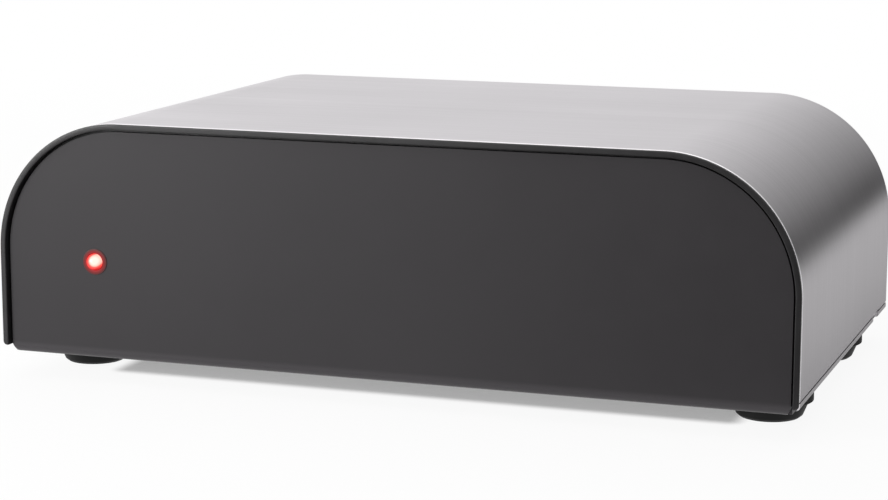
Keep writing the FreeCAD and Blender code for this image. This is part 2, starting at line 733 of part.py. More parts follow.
def make_phono_sockets():
    """Two housings, each with two stacked barrels, inserts and spring contacts."""
    inner = "(barrel_radius - barrel_wall)"
    tip = "(sheet + barrel_length)"
    shoulder = "(barrel_radius + barrel_shoulder)"
    contact_radius = "(pin_bore + contact_wall)"
    for name, x in (("input", INPUT_X), ("output", OUTPUT_X)):
        housing = new_body(name + "_housing")
        block = rectangle("%s - housing_half_width" % x, "%s + housing_half_width" % x,
                          BOARD_TOP, "%s + housing_height" % BOARD_TOP)
        add(housing, "XZ_Plane", "%s - housing_depth" % REAR_INNER, "housing_depth", [block])
        levels = (("right", SOCKET_LOW), ("left", SOCKET_HIGH))
        cut(housing, "XZ_Plane", "%s - barrel_root" % REAR_INNER, "barrel_root + overrun",
            [(x, z, shoulder + " + moulding_fit") for side, z in levels])
        cut(housing, "XZ_Plane", "%s - barrel_root - contact_length" % REAR_INNER,
            "contact_length + overrun",
            [(x, z, "%s + moulding_fit" % contact_radius) for side, z in levels])
        cut(housing, "XZ_Plane", "%s - socket_screw_length" % REAR_INNER,
            "socket_screw_length + overrun",
            [(x, SOCKET_MIDDLE, "socket_screw_radius + thread_fit")])
        keep(housing)
        for side, z in levels:
            stem = "%s_%s_" % (side, name)
            profile = [(inner, "-barrel_root"), (shoulder, "-barrel_root"), (shoulder, "sheet"),
                       ("barrel_radius", "sheet"), ("barrel_radius", tip, "barrel_edge_round"),
                       (inner, tip)]
            keep(turned(stem + "barrel", profile), x, REAR_INNER, z, turn=REARWARD)
            face = tip + " - insert_recess"
            profile = rectangle("pin_bore", "%s - moulding_fit" % inner, "-barrel_root", face)
            keep(turned(stem + "insert", profile), x, REAR_INNER, z, turn=REARWARD)
            profile = rectangle("pin_bore", contact_radius,
                                "-barrel_root - contact_length", "-barrel_root")
            keep(turned(stem + "contact", profile), x, REAR_INNER, z, turn=REARWARD)
    recess = ("small_recess_span", "small_recess_width", "small_recess_depth")
    model = screw("socket_screw_model", "socket_screw_radius", "sheet + socket_screw_length",
                  "socket_head_radius", "socket_head_height", "socket_head_round", recess)
    spots = [(x, REAR_FACE, SOCKET_MIDDLE, REARWARD) for x in (INPUT_X, OUTPUT_X)]
    keep_group("socket_screws", model, spots)


def make_power_inlet():
    """Power inlet with a round nose through the rear panel and a centre pin."""
    inlet = new_body("power_inlet")
    block = rectangle(INLET_X + " - inlet_half_width", INLET_X + " + inlet_half_width",
                      BOARD_TOP, "%s + inlet_height" % BOARD_TOP)
    add(inlet, "XZ_Plane", "%s - inlet_depth" % REAR_INNER, "inlet_depth", [block])
    add(inlet, "XZ_Plane", REAR_INNER, "sheet", [(INLET_X, INLET_Z, "inlet_nose_radius")])
    cut(inlet, "XZ_Plane", "%s - inlet_bore_depth" % REAR_FACE, "inlet_bore_depth + overrun",
        [(INLET_X, INLET_Z, "inlet_bore")])
    keep(inlet)
    tip = "inlet_bore_depth - inlet_pin_recess"
    profile = [("0", "0"), ("inlet_pin_radius", "0"), ("inlet_pin_radius", tip, "inlet_pin_round"),
               ("0", tip)]
    pin_piece = turned("power_inlet_pin", profile)
    keep(pin_piece, INLET_X, "%s - inlet_bore_depth" % REAR_FACE, INLET_Z, turn=REARWARD)


def make_ground_terminal():
    """Stud with a collar, washer and knurled knob outside, nut and solder tag inside."""
    tip = "(sheet + stud_reach)"
    collar = "(sheet + collar_thickness)"
    profile = [("0", "-stud_inner"), ("stud_radius", "-stud_inner"), ("stud_radius", "sheet"),
               ("collar_radius", "sheet"), ("collar_radius", collar), ("stud_radius", collar),
               ("stud_radius", tip + " - stud_bevel"), ("stud_radius - stud_bevel", tip), ("0", tip)]
    keep(turned("ground_stud", profile), GROUND_X, REAR_INNER, SOCKET_MIDDLE, turn=REARWARD)
    washer = turned("ground_washer", rectangle(STUD_HOLE, "washer_radius", "0", "washer_thickness"))
    seat = "%s + collar_thickness" % REAR_FACE
    keep(washer, GROUND_X, seat, SOCKET_MIDDLE, turn=REARWARD)
    dish = "knob_length - knob_dish_depth"
    profile = [(STUD_HOLE, "0"), ("knob_neck_radius", "0"), ("knob_neck_radius", "knob_neck_length"),
               ("knob_radius", "knob_neck_length"), ("knob_radius", "knob_length"),
               ("knob_dish_radius", "knob_length"), ("knob_dish_radius - knob_dish_depth", dish),
               (STUD_HOLE, dish)]
    knob = turned("ground_knob", profile)
    groove = [("knob_radius - knurl_depth", "0"), ("knob_radius + knurl_depth", "-2 * knurl_half_width"),
              ("knob_radius + knurl_depth", "2 * knurl_half_width")]
    flute = cut(knob, "XY_Plane", "knob_neck_length - overrun", "knob_length + 2 * overrun", [groove])
    knurl = knob.newObject("PartDesign::PolarPattern", "Knurl")
    knurl.Originals = [flute]
    knurl.Axis = (flute.Profile[0], ["N_Axis"])
    knurl.Angle = 360.0
    knurl.setExpression("Occurrences", formula("knurl_count"))
    knob.Tip = knurl
    doc.recompute()
    keep(knob, GROUND_X, seat + " + washer_thickness", SOCKET_MIDDLE, turn=REARWARD)
    nut = new_body("ground_inner_nut")
    flat, half = "(inner_nut_flat / 2)", "(inner_nut_flat / 2 / sqrt(3))"
    hexagon = [("-" + flat, "-" + half), ("0", "-2 * " + half), (flat, "-" + half),
               (flat, half), ("0", "2 * " + half), ("-" + flat, half)]
    add(nut, "XY_Plane", "0", "inner_nut_height", [hexagon])
    cut(nut, "XY_Plane", "-overrun", "inner_nut_height + 2 * overrun", [("0", "0", STUD_HOLE)])
    nut_y = "%s - tag_thickness - inner_nut_height" % REAR_INNER
    keep(nut, GROUND_X, nut_y, SOCKET_MIDDLE, turn=REARWARD)
    tag = new_body("ground_tag")
    front = "%s - tag_thickness" % REAR_INNER
    left, right = GROUND_X + " - tag_half_width", GROUND_X + " + tag_half_width"
    add(tag, "XZ_Plane", front, "tag_thickness", [rectangle(left, right, BOARD_TOP, SOCKET_MIDDLE)])
    add(tag, "XZ_Plane", front, "tag_thickness", [(GROUND_X, SOCKET_MIDDLE, "tag_radius")])
    add(tag, "XY_Plane", BOARD_TOP, "tag_thickness",
        [rectangle(left, right, "%s - tag_foot" % REAR_INNER, REAR_INNER)])
    cut(tag, "XZ_Plane", front + " - overrun", "tag_thickness + 2 * overrun",
        [(GROUND_X, SOCKET_MIDDLE, STUD_HOLE)])
    keep(tag)


def make_chips():
    """Two amplifier chips, each in its socket."""
    seat = new_body("chip_socket_model")
    length, width = "(chip_half_length + chip_socket_margin)", "(chip_half_width + chip_socket_margin)"
    add(seat, "XY_Plane", "0", "chip_socket_height", [rectangle("-" + length, length, "-" + width, width)])
    window = rectangle("-(%s - chip_socket_window)" % length, "%s - chip_socket_window" % length,
                       "-(%s - chip_socket_window)" % width, "%s - chip_socket_window" % width)
    cut(seat, "XY_Plane", "-overrun", "chip_socket_height + 2 * overrun", [window])
    spots = [("-chip_x", CHIP_Y), ("chip_x", CHIP_Y)]
    keep_group("chip_sockets", seat, [(x, y, BOARD_TOP) for x, y in spots])
    chip = new_body("chip_model")
    body = rectangle("-chip_half_length", "chip_half_length", "-chip_half_width", "chip_half_width")
    add(chip, "XY_Plane", "0", "chip_height", [body])
    cut(chip, "XY_Plane", "chip_height - chip_notch", "chip_notch + overrun",
        [("-chip_half_length", "0", "chip_notch")])
    height = "%s + chip_socket_height" % BOARD_TOP
    keep_group("amplifier_chips", chip, [(x, y, height) for x, y in spots])


def make_reservoirs():
    """Two round reservoir capacitors with a crimp groove."""
    waist = "reservoir_radius - reservoir_groove"
    low = "reservoir_groove_height - reservoir_groove"
    high = "reservoir_groove_height + reservoir_groove"
    profile = [("0", "0"), ("reservoir_radius", "0"), ("reservoir_radius", low),
               (waist, "reservoir_groove_height"), ("reservoir_radius", high),
               ("reservoir_radius", "reservoir_height", "reservoir_round"), ("0", "reservoir_height")]
    model = turned("reservoir_model", profile)
    spots = [(RESERVOIR_X, RESERVOIR_Y, BOARD_TOP),
             (RESERVOIR_X + " + reservoir_pitch", RESERVOIR_Y, BOARD_TOP)]
    keep_group("reservoir_capacitors", model, spots)


def box_capacitor(label, half_length, half_width, height):
    """A film capacitor: a small box with softened upright edges."""
    body = new_body(label)
    corners = rectangle("-" + half_length, half_length, "-" + half_width, half_width)
    add(body, "XY_Plane", "0", height, [[corner + ("film_edge",) for corner in corners]])
    return body


def make_film_capacitors():
    """Coupling capacitors beside the output, filter capacitors beside each chip."""
    model = box_capacitor("film_model", "film_half_length", "film_half_width", "film_height")
    spots = [("film_x - %d * film_pitch" % step, FILM_Y, BOARD_TOP, QUARTER) for step in range(4)]
    keep_group("coupling_capacitors", model, spots)
    model = box_capacitor("filter_model", "filter_half_length", "filter_half_width", "filter_height")
    spots = []
    for side in ("-", ""):
        for step in (-1, 0, 1):
            spots.append((side + "filter_x", "%s + %d * filter_pitch" % (CHIP_Y, step), BOARD_TOP))
    keep_group("filter_capacitors", model, spots)


def resistor_spots():
    """Two rows of resistors, either side of the middle."""
    return [("%s(resistor_x + %d * resistor_pitch)" % (side, step), "resistor_y")
            for side in ("-", "") for step in range(5)]


def diode_spots():
    """One row of rectifier diodes on the power side."""
    return [("%s + %d * diode_pitch" % (DIODE_X, step), "diode_y") for step in range(4)]


def on_bent_legs(label, barrel, length, radius):
    """A round barrel along Y held above the board on a wire bent down at both ends."""
    axis_height = "(%s + wire_width)" % radius
    wire = new_body(label + "_wire")
    half, thick = "(lead_span / 2)", "(wire_width / 2)"
    shape = [("-%s - %s" % (half, thick), "-board_thickness"),
             ("-%s + %s" % (half, thick), "-board_thickness"),
             ("-%s + %s" % (half, thick), "%s - %s" % (axis_height, thick)),
             ("%s - %s" % (half, thick), "%s - %s" % (axis_height, thick)),
             ("%s - %s" % (half, thick), "-board_thickness"),
             ("%s + %s" % (half, thick), "-board_thickness"),
             ("%s + %s" % (half, thick), "%s + %s" % (axis_height, thick)),
             ("-%s - %s" % (half, thick), "%s + %s" % (axis_height, thick))]
    add(wire, "YZ_Plane", "-%s" % thick, "wire_width", [shape])
    barrel.Placement = FreeCAD.Placement(FreeCAD.Vector(0, 0, 0), REARWARD)
    barrel.setExpression("Placement.Base.y", formula("-(%s) / 2" % length))
    barrel.setExpression("Placement.Base.z", formula(axis_height))
    joined = doc.addObject("Part::MultiFuse", label)
    joined.Shapes = [barrel, wire]
    doc.recompute()
    return joined


def make_small_parts():
    """Resistors in rows at the front of the board, rectifier diodes near the power side."""
    waist_start, waist_end = "resistor_cap", "resistor_length - resistor_cap"
    profile = [("0", "0"), ("resistor_radius", "0"), ("resistor_radius", waist_start),
               ("resistor_waist", waist_start), ("resistor_waist", waist_end),
               ("resistor_radius", waist_end), ("resistor_radius", "resistor_length"),
               ("0", "resistor_length")]
    barrel = turned("resistor_barrel", profile)
    model = on_bent_legs("resistor_model", barrel, "resistor_length", "resistor_radius")
    keep_group("resistors", model, [(x, y, BOARD_TOP) for x, y in resistor_spots()])
    barrel = turned("diode_barrel", rectangle("0", "diode_radius", "0", "diode_length"))
    model = on_bent_legs("diode_model", barrel, "diode_length", "diode_radius")
    keep_group("rectifier_diodes", model, [(x, y, BOARD_TOP) for x, y in diode_spots()])


def make_regulators():
    """Two voltage regulators standing on their legs, with metal tabs."""
    model = new_body("regulator_model")
    half = "regulator_half_width"
    add(model, "XY_Plane", "regulator_lift", "regulator_height",
        [rectangle("-" + half, half, "0", "regulator_thickness")])
    add(model, "XY_Plane", "regulator_lift", "regulator_tab_height",
        [rectangle("-" + half, half, "0", "regulator_tab")])
    hole_z = "regulator_lift + regulator_tab_height - regulator_hole_drop"
    cut(model, "XZ_Plane", "-overrun", "regulator_tab + 2 * overrun", [("0", hole_z, "regulator_hole")])
    legs = []
    for step in (-1, 0, 1):
        middle = "%d * regulator_leg_pitch" % step
        legs.append(rectangle(middle + " - regulator_leg_width / 2", middle + " + regulator_leg_width / 2",
                              "regulator_tab", "regulator_tab + regulator_leg_width"))
    for leg in legs:
        add(model, "XY_Plane", "0", "regulator_lift", [leg])
    spots = [(REGULATOR_X + " + regulator_thickness / 2", "%s + %d * regulator_pitch" % (CHIP_Y, step),
              BOARD_TOP, QUARTER) for step in (-1, 0)]
    keep_group("voltage_regulators", model, spots)


def check_all():
    """Stops if any object failed, or any piece is empty or not a valid solid."""
    for item in doc.Objects:
        if "Invalid" in item.State or "Error" in item.State:
            raise RuntimeError("%s failed to build" % item.Name)
    for piece in parts:
        shape = piece.Shape
        if shape.isNull() or not shape.isValid() or not shape.Solids:
            raise RuntimeError("%s is not a valid solid" % piece.Label)


def write_all():
    """Writes each piece to its own STEP file."""
    os.makedirs("parts", exist_ok=True)
    for piece in parts:
        piece.Shape.exportStep("parts/%s.step" % piece.Label)


make_cover()
make_bezel()
make_tray()
make_rear_panel()
make_feet()
make_case_screws()
make_board()
make_lamp()
make_phono_sockets()
make_power_inlet()
make_ground_terminal()
make_chips()
make_reservoirs()
make_film_capacitors()
make_small_parts()
make_regulators()
doc.recompute()
check_all()
write_all()
print("%d pieces" % len(parts))
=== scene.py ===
import json
import math

import bmesh
import bpy
from mathutils import Matrix, Vector


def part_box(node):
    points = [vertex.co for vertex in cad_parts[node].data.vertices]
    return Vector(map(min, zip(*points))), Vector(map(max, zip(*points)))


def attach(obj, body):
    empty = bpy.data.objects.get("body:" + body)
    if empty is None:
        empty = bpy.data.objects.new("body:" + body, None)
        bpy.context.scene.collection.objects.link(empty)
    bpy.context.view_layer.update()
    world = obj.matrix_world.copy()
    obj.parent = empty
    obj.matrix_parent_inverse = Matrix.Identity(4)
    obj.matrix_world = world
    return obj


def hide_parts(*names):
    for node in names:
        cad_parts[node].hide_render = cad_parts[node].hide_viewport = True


# Small desk-top phono preamp: a silver brushed cover, a dark panel in a thin black rim,
# a lit red lamp, rubber feet, and sockets with a ground terminal at the rear.
# Lengths are metres. The frame is the part's own: +X right seen from the front, +Y rear,
# +Z up, feet on zero. Pieces are drawn in the case frame, in millimetres: X from the
# middle, Y from the front face of the rim, Z from the cover's lower edge.

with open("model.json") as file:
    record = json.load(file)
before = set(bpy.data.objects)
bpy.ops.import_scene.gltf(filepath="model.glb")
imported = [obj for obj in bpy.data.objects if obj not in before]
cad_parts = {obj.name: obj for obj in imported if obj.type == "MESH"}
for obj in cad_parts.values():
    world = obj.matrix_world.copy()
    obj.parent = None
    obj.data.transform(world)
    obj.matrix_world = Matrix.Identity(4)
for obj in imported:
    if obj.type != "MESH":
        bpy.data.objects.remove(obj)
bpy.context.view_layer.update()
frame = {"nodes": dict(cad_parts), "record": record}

MM = 0.001
cover_low, cover_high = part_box("cover")
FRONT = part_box("front_bezel")[0].y
BASE = cover_low.z
HALF = cover_high.x / MM
HEIGHT = (cover_high.z - BASE) / MM
DEPTH = (cover_high.y - FRONT) / MM
COVER_START = (cover_low.y - FRONT) / MM
FLOOR_DROP = (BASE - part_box("chassis_tray")[0].z) / MM
SHEET = FLOOR_DROP

# The case's own measures, in millimetres
CORNER = 24.2
COVER_WALL = 1.5
FLANGE_REACH = 6.0
FRONT_BEVEL = 0.25
REAR_BEVEL = 0.15
LOWER_ROUND = 0.4
GROOVE = (1.1, 1.4)
GROOVE_DEPTH = 0.25
LIP_WALL = 0.4
RIM_WIDTH = 1.05
RIM_FOOT = 0.2
RIM_END_ROUND = 0.7
RIM_EDGE_ROUND = 0.2
PANEL_GAP = 0.45
PANEL_RECESS = 1.0
PANEL_BEND = 1.5
PANEL_CORNER_CUT = 0.75
PANEL_CORNER_RISE = 1.5
SEAT_START = PANEL_RECESS + SHEET + 0.1
SEAT_END = SEAT_START + 1.0
SEAT_BORDER = 4.0
SPIGOT_END = SEAT_END + 7.0
LIP_END = SEAT_END + 0.05
REAR_FIT = 0.25
TRAY_EDGE = 0.06
REAR_EDGE = 0.08
REAR_FACE = (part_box("rear_panel")[1].y - FRONT) / MM
REAR_INNER = REAR_FACE - SHEET
ARC_STEPS = 56
ROUND_STEPS = 5
SMALL_SIDES, MIDDLE_SIDES, WIDE_SIDES = 48, 64, 96
CREASE = math.radians(35)
ROUNDED_EDGE = math.radians(40)

FORWARD = Vector((0, -1, 0))
REARWARD = Vector((0, 1, 0))
UPWARD = Vector((0, 0, 1))
DOWNWARD = Vector((0, 0, -1))


def at(x, y, z):
    """A place in the case frame, in millimetres, as a point in the part's frame."""
    return Vector((x * MM, FRONT + y * MM, BASE + z * MM))


def node_middle(node):
    """The middle of a node's box, in the case frame."""
    low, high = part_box(node)
    middle = (low + high) / 2
    return middle.x / MM, (middle.y - FRONT) / MM, (middle.z - BASE) / MM


def four_spots(x, front, rear):
    """The four corners of a pattern centred across the case."""
    return [(sign * x, y) for y in (front, rear) for sign in (-1, 1)]


def between_sockets():
    """The X and Z of the spots between the two sockets of each pair."""
    spots = []
    for way in ("input", "output"):
        high = node_middle("left_%s_barrel" % way)
        low = node_middle("right_%s_barrel" % way)
        spots.append((high[0], (high[2] + low[2]) / 2))
    return spots


# Holes and what they hold: radii and places
LAMP_HOLE = 2.15
FOOT_HEIGHT = BASE / MM - FLOOR_DROP
FOOT_SEAT = 2.9
THREAD_HOLE = 1.65
STANDOFF_HOLE = 2.05
TAB_HOLE = 1.55
FOOT_SPOTS = four_spots(HALF - 8.9, 20.0, DEPTH - 21.6)
COVER_SCREW_SPOTS = four_spots(HALF - (COVER_WALL + FLANGE_REACH) / 2, 35.0, DEPTH - 36.6)
TAB_SCREW_SPOTS = [(sign * 28.0, REAR_FACE - 5.5) for sign in (-1, 1)]
STANDOFF_SPOTS = four_spots(HALF - 14.0, 11.5, REAR_INNER - 6.5)
SOCKET_STEMS = [side + "_" + way for way in ("input", "output") for side in ("left", "right")]
BARREL_HOLE = 4.5
SOCKET_SCREW_HOLE = 1.35
STUD_HOLE = 2.0
INLET_HOLE = 4.1


# Mesh helpers

def shade(piece):
    """Smooth faces, with creases only where the surface turns sharply."""
    for face in piece.data.polygons:
        face.use_smooth = True
    piece.data.set_sharp_from_angle(angle=CREASE)


def keep_result(piece):
    """Makes the result of the piece's modifiers its own mesh."""
    graph = bpy.context.evaluated_depsgraph_get()
    made = bpy.data.meshes.new_from_object(piece.evaluated_get(graph))
    piece.modifiers.clear()
    piece.data = made


def flatten_shading(piece):
    """Lets the large faces set the shading, so that flat ones look flat beside small rounds."""
    step = piece.modifiers.new("flat", "WEIGHTED_NORMAL")
    step.weight = 100
    step.keep_sharp = True
    keep_result(piece)


def to_object(bm, name):
    """Turns a mesh under construction into a linked object."""
    bmesh.ops.remove_doubles(bm, verts=bm.verts, dist=1e-7)
    bmesh.ops.dissolve_degenerate(bm, dist=1e-8, edges=bm.edges)
    bmesh.ops.recalc_face_normals(bm, faces=bm.faces)
    mesh = bpy.data.meshes.new(name)
    bm.to_mesh(mesh)
    bm.free()
    piece = bpy.data.objects.new(name, mesh)
    bpy.context.scene.collection.objects.link(piece)
    shade(piece)
    return piece


def carve(piece, tool, way="DIFFERENCE", overlapping=False):
    """Cuts the tool out of the piece, or joins it on, and removes the tool."""
    step = piece.modifiers.new("cut", "BOOLEAN")
    step.operation = way
    step.solver = "EXACT"
    step.use_self = overlapping
    step.object = tool
    keep_result(piece)
    shade(piece)
    bpy.data.objects.remove(tool)
    return piece


def soft_edges(piece, width):
    """A small round along every sharp edge."""
    step = piece.modifiers.new("edges", "BEVEL")
    step.width = width * MM
    step.segments = 2
    step.limit_method = "ANGLE"
    step.angle_limit = ROUNDED_EDGE
    keep_result(piece)
    shade(piece)
    return piece


def soften(corners, closed=True, steps=ROUND_STEPS):
    """The outline, with each corner that has a third entry rounded by that radius."""
    count = len(corners)
    points = []
    for index, corner in enumerate(corners):
        here = Vector(corner[:2])
        inner = closed or 0 < index < count - 1
        if len(corner) < 3 or not inner:
            points.append(here)
            continue
        back = (Vector(corners[index - 1][:2]) - here).normalized()
        ahead = (Vector(corners[(index + 1) % count][:2]) - here).normalized()
        half = back.angle(ahead) / 2
        centre = here + (back + ahead).normalized() * corner[2] / math.sin(half)
        start = here + back * corner[2] / math.tan(half) - centre
        stop = here + ahead * corner[2] / math.tan(half) - centre
        sweep = start.angle(stop)
        for step in range(steps + 1):
            turn = sweep * step / steps
            mix = start * math.sin(sweep - turn) + stop * math.sin(turn)
            points.append(centre + mix / math.sin(sweep))
    return points


def axes_for(axis):
    """Two directions across the axis."""
    across = Vector((1, 0, 0))
    return across, axis.cross(across)


def turn_on(bm, profile, origin, axis, segments, ripple=None):
    """Adds a turned solid: points of radius and height, closed over the axis or on itself."""
    across, beside = axes_for(axis)
    rings = []
    for radius, height in profile:
        middle = origin + axis * (height * MM)
        if radius < 1e-6:
            rings.append([bm.verts.new(middle)])
            continue
        ring = []
        for step in range(segments):
            angle = 2 * math.pi * step / segments
            reach = radius + (ripple(angle, radius, height) if ripple else 0.0)
            spoke = across * math.cos(angle) + beside * math.sin(angle)
            ring.append(bm.verts.new(middle + spoke * (reach * MM)))
        rings.append(ring)
    touches_axis = len(rings[0]) == 1 and len(rings[-1]) == 1
    pairs = list(zip(rings, rings[1:]))
    if not touches_axis:
        pairs.append((rings[-1], rings[0]))
    for low, high in pairs:
        for step in range(segments):
            after = (step + 1) % segments
            loop = [low[step % len(low)], low[after % len(low)],
                    high[after % len(high)], high[step % len(high)]]
            corners = list(dict.fromkeys(loop))
            if len(corners) > 2:
                bm.faces.new(corners)


def lathe(name, corners, origin, axis, segments, ripple=None, steps=ROUND_STEPS):
    """A turned piece from corners of radius and height, some of them rounded."""
    closed = corners[0][0] > 0 or corners[-1][0] > 0
    bm = bmesh.new()
    turn_on(bm, soften(corners, closed, steps), origin, axis, segments, ripple)
    return to_object(bm, name)


def close_loops(bm, low, high):
    """Adds both end faces and the sides of a solid between two matching loops."""
    bm.faces.new(low)
    bm.faces.new(high)
    count = len(low)
    for index in range(count):
        after = (index + 1) % count
        bm.faces.new([low[index], low[after], high[after], high[index]])


def slab_on(bm, outline, start, stop, plane):
    """Adds a flat slab: an outline in XZ swept along Y, or in XY swept along Z."""
    loops = []
    for level in (start, stop):
        if plane == "XZ":
            spots = [at(point[0], level, point[1]) for point in outline]
        else:
            spots = [at(point[0], point[1], level) for point in outline]
        loops.append([bm.verts.new(spot) for spot in spots])
    close_loops(bm, *loops)


def slab(name, outline, start, stop, plane="XZ"):
    """A flat slab as its own object."""
    bm = bmesh.new()
    slab_on(bm, outline, start, stop, plane)
    return to_object(bm, name)


def rectangle(left, right, low, high):
    """The corners of a rectangle."""
    return [(left, low), (right, low), (right, high), (left, high)]


def pegs(holes, start, stop, plane="XZ"):
    """A tool of round pegs for holes, each an X, a Z or Y, and a radius."""
    bm = bmesh.new()
    for across, up, radius in holes:
        ring = []
        for step in range(SMALL_SIDES):
            angle = 2 * math.pi * step / SMALL_SIDES
            ring.append((across + radius * math.cos(angle), up + radius * math.sin(angle)))
        slab_on(bm, ring, start, stop, plane)
    return to_object(bm, "pegs")


# The arched case

def arch_pairs(outer, inner, foot, end_round=0.0, grooved=False, flange=None):
    """Matching outer and inner points of an arched wall, from one lower end to the other."""
    out_side, in_side = HALF - outer, HALF - inner
    pairs = []
    if flange is not None:
        pairs.append(((HALF - flange, foot), (HALF - flange, inner)))
    inner_foot = inner if flange is not None else foot
    for step in range(ROUND_STEPS + 1):
        angle = math.pi / 2 * step / ROUND_STEPS
        shift = end_round * (1 - math.sin(angle))
        lift = end_round * (1 - math.cos(angle))
        pairs.append(((out_side - shift, foot + lift), (in_side, max(inner_foot, 0.0))))
    if grooved:
        low, high = GROOVE
        depth = GROOVE_DEPTH
        for level, inset in ((low, 0), (low, depth), (high, depth), (high, 0)):
            pairs.append(((out_side - inset, level), (in_side, level)))
    middle_x, middle_z = HALF - CORNER, HEIGHT - CORNER
    for step in range(ARC_STEPS + 1):
        angle = math.pi / 2 * step / ARC_STEPS
        radii = (CORNER - outer, CORNER - inner)
        pairs.append(tuple((middle_x + radius * math.cos(angle), middle_z + radius * math.sin(angle))
                           for radius in radii))
    mirrored = [tuple((-x, z) for x, z in pair) for pair in pairs]
    return mirrored + pairs[::-1]


def arch_wall(name, stations):
    """An arched wall swept from front to rear through its stations of depth and pairs."""
    bm = bmesh.new()
    rings = []
    for depth, pairs in stations:
        outer = [bm.verts.new(at(pair[0][0], depth, pair[0][1])) for pair in pairs]
        inner = [bm.verts.new(at(pair[1][0], depth, pair[1][1])) for pair in pairs]
        rings.append((outer, inner))
    for outer, inner in (rings[0], rings[-1]):
        for index in range(len(outer) - 1):
            bm.faces.new([outer[index], outer[index + 1], inner[index + 1], inner[index]])
    for (outer, inner), (next_outer, next_inner) in zip(rings, rings[1:]):
        for here, ahead in ((outer, next_outer), (inner, next_inner)):
            for index in range(len(here) - 1):
                bm.faces.new([here[index], here[index + 1], ahead[index + 1], ahead[index]])
        for end in (0, -1):
            bm.faces.new([outer[end], inner[end], next_inner[end], next_outer[end]])
    return to_object(bm, name)


def make_cover():
    """The silver shell: bevelled front edge on a thin lip, groove, flanges and notches."""
    full = {"end_round": LOWER_ROUND, "grooved": True, "flange": FLANGE_REACH}
    lip = {"end_round": LOWER_ROUND, "grooved": True}
    stations = [
        (COVER_START, arch_pairs(FRONT_BEVEL, LIP_WALL, 0.0, **lip)),
        (COVER_START + FRONT_BEVEL, arch_pairs(0.0, LIP_WALL, 0.0, **lip)),
        (LIP_END, arch_pairs(0.0, LIP_WALL, 0.0, **lip)),
    ]
    shell_stations = [
        (LIP_END, arch_pairs(0.0, COVER_WALL, 0.0, **full)),
        (DEPTH - REAR_BEVEL, arch_pairs(0.0, COVER_WALL, 0.0, **full)),
        (DEPTH, arch_pairs(REAR_BEVEL, COVER_WALL, 0.0, **full)),
    ]
    extra = len(shell_stations[0][1]) - len(stations[0][1])
    padded = []
    for depth, pairs in stations:
        ends = extra // 2
        padded.append((depth, [pairs[0]] * ends + pairs + [pairs[-1]] * ends))
    cover = arch_wall("cover_shell", padded + shell_stations)
    notch_rear_gap, notch_length, notch_height = 9.6, 6.0, 1.6
    last = DEPTH - notch_rear_gap
    bm = bmesh.new()
    for near, far in ((HALF - COVER_WALL, HALF + 1), (-HALF - 1, -HALF + COVER_WALL)):
        slab_on(bm, rectangle(near, far, last - notch_length, last), -1, notch_height, "XY")
    carve(cover, to_object(bm, "notches"))
    return cover


def make_trim():
    """The black frame: rounded rim, leg inside the cover's lip, seat and spigot."""
    lip_fit = LIP_WALL + 0.05
    seat_inner = RIM_WIDTH + PANEL_GAP + SEAT_BORDER
    spigot_outer, spigot_inner = COVER_WALL + 0.05, COVER_WALL + 1.55
    stations = []
    for step in range(ROUND_STEPS + 1):
        angle = math.pi / 2 * step / ROUND_STEPS
        depth = RIM_EDGE_ROUND * (1 - math.cos(angle))
        inset = RIM_EDGE_ROUND * (1 - math.sin(angle))
        pairs = arch_pairs(inset, RIM_WIDTH - inset, RIM_FOOT + inset, RIM_END_ROUND)
        stations.append((depth, pairs))
    plans = (
        (COVER_START, 0.0, RIM_WIDTH, RIM_FOOT, RIM_END_ROUND),
        (COVER_START, lip_fit, RIM_WIDTH, RIM_FOOT, 0.0),
        (SEAT_START, lip_fit, RIM_WIDTH, RIM_FOOT, 0.0),
        (SEAT_START, lip_fit, seat_inner, RIM_FOOT, 0.0),
        (SEAT_END, lip_fit, seat_inner, RIM_FOOT, 0.0),
        (SEAT_END, spigot_outer, spigot_inner, COVER_WALL + RIM_FOOT, 0.0),
        (SPIGOT_END, spigot_outer, spigot_inner, COVER_WALL + RIM_FOOT, 0.0),
    )
    for depth, outer, inner, foot, end_round in plans:
        stations.append((depth, arch_pairs(outer, inner, foot, end_round)))
    return arch_wall("trim_rim", stations)


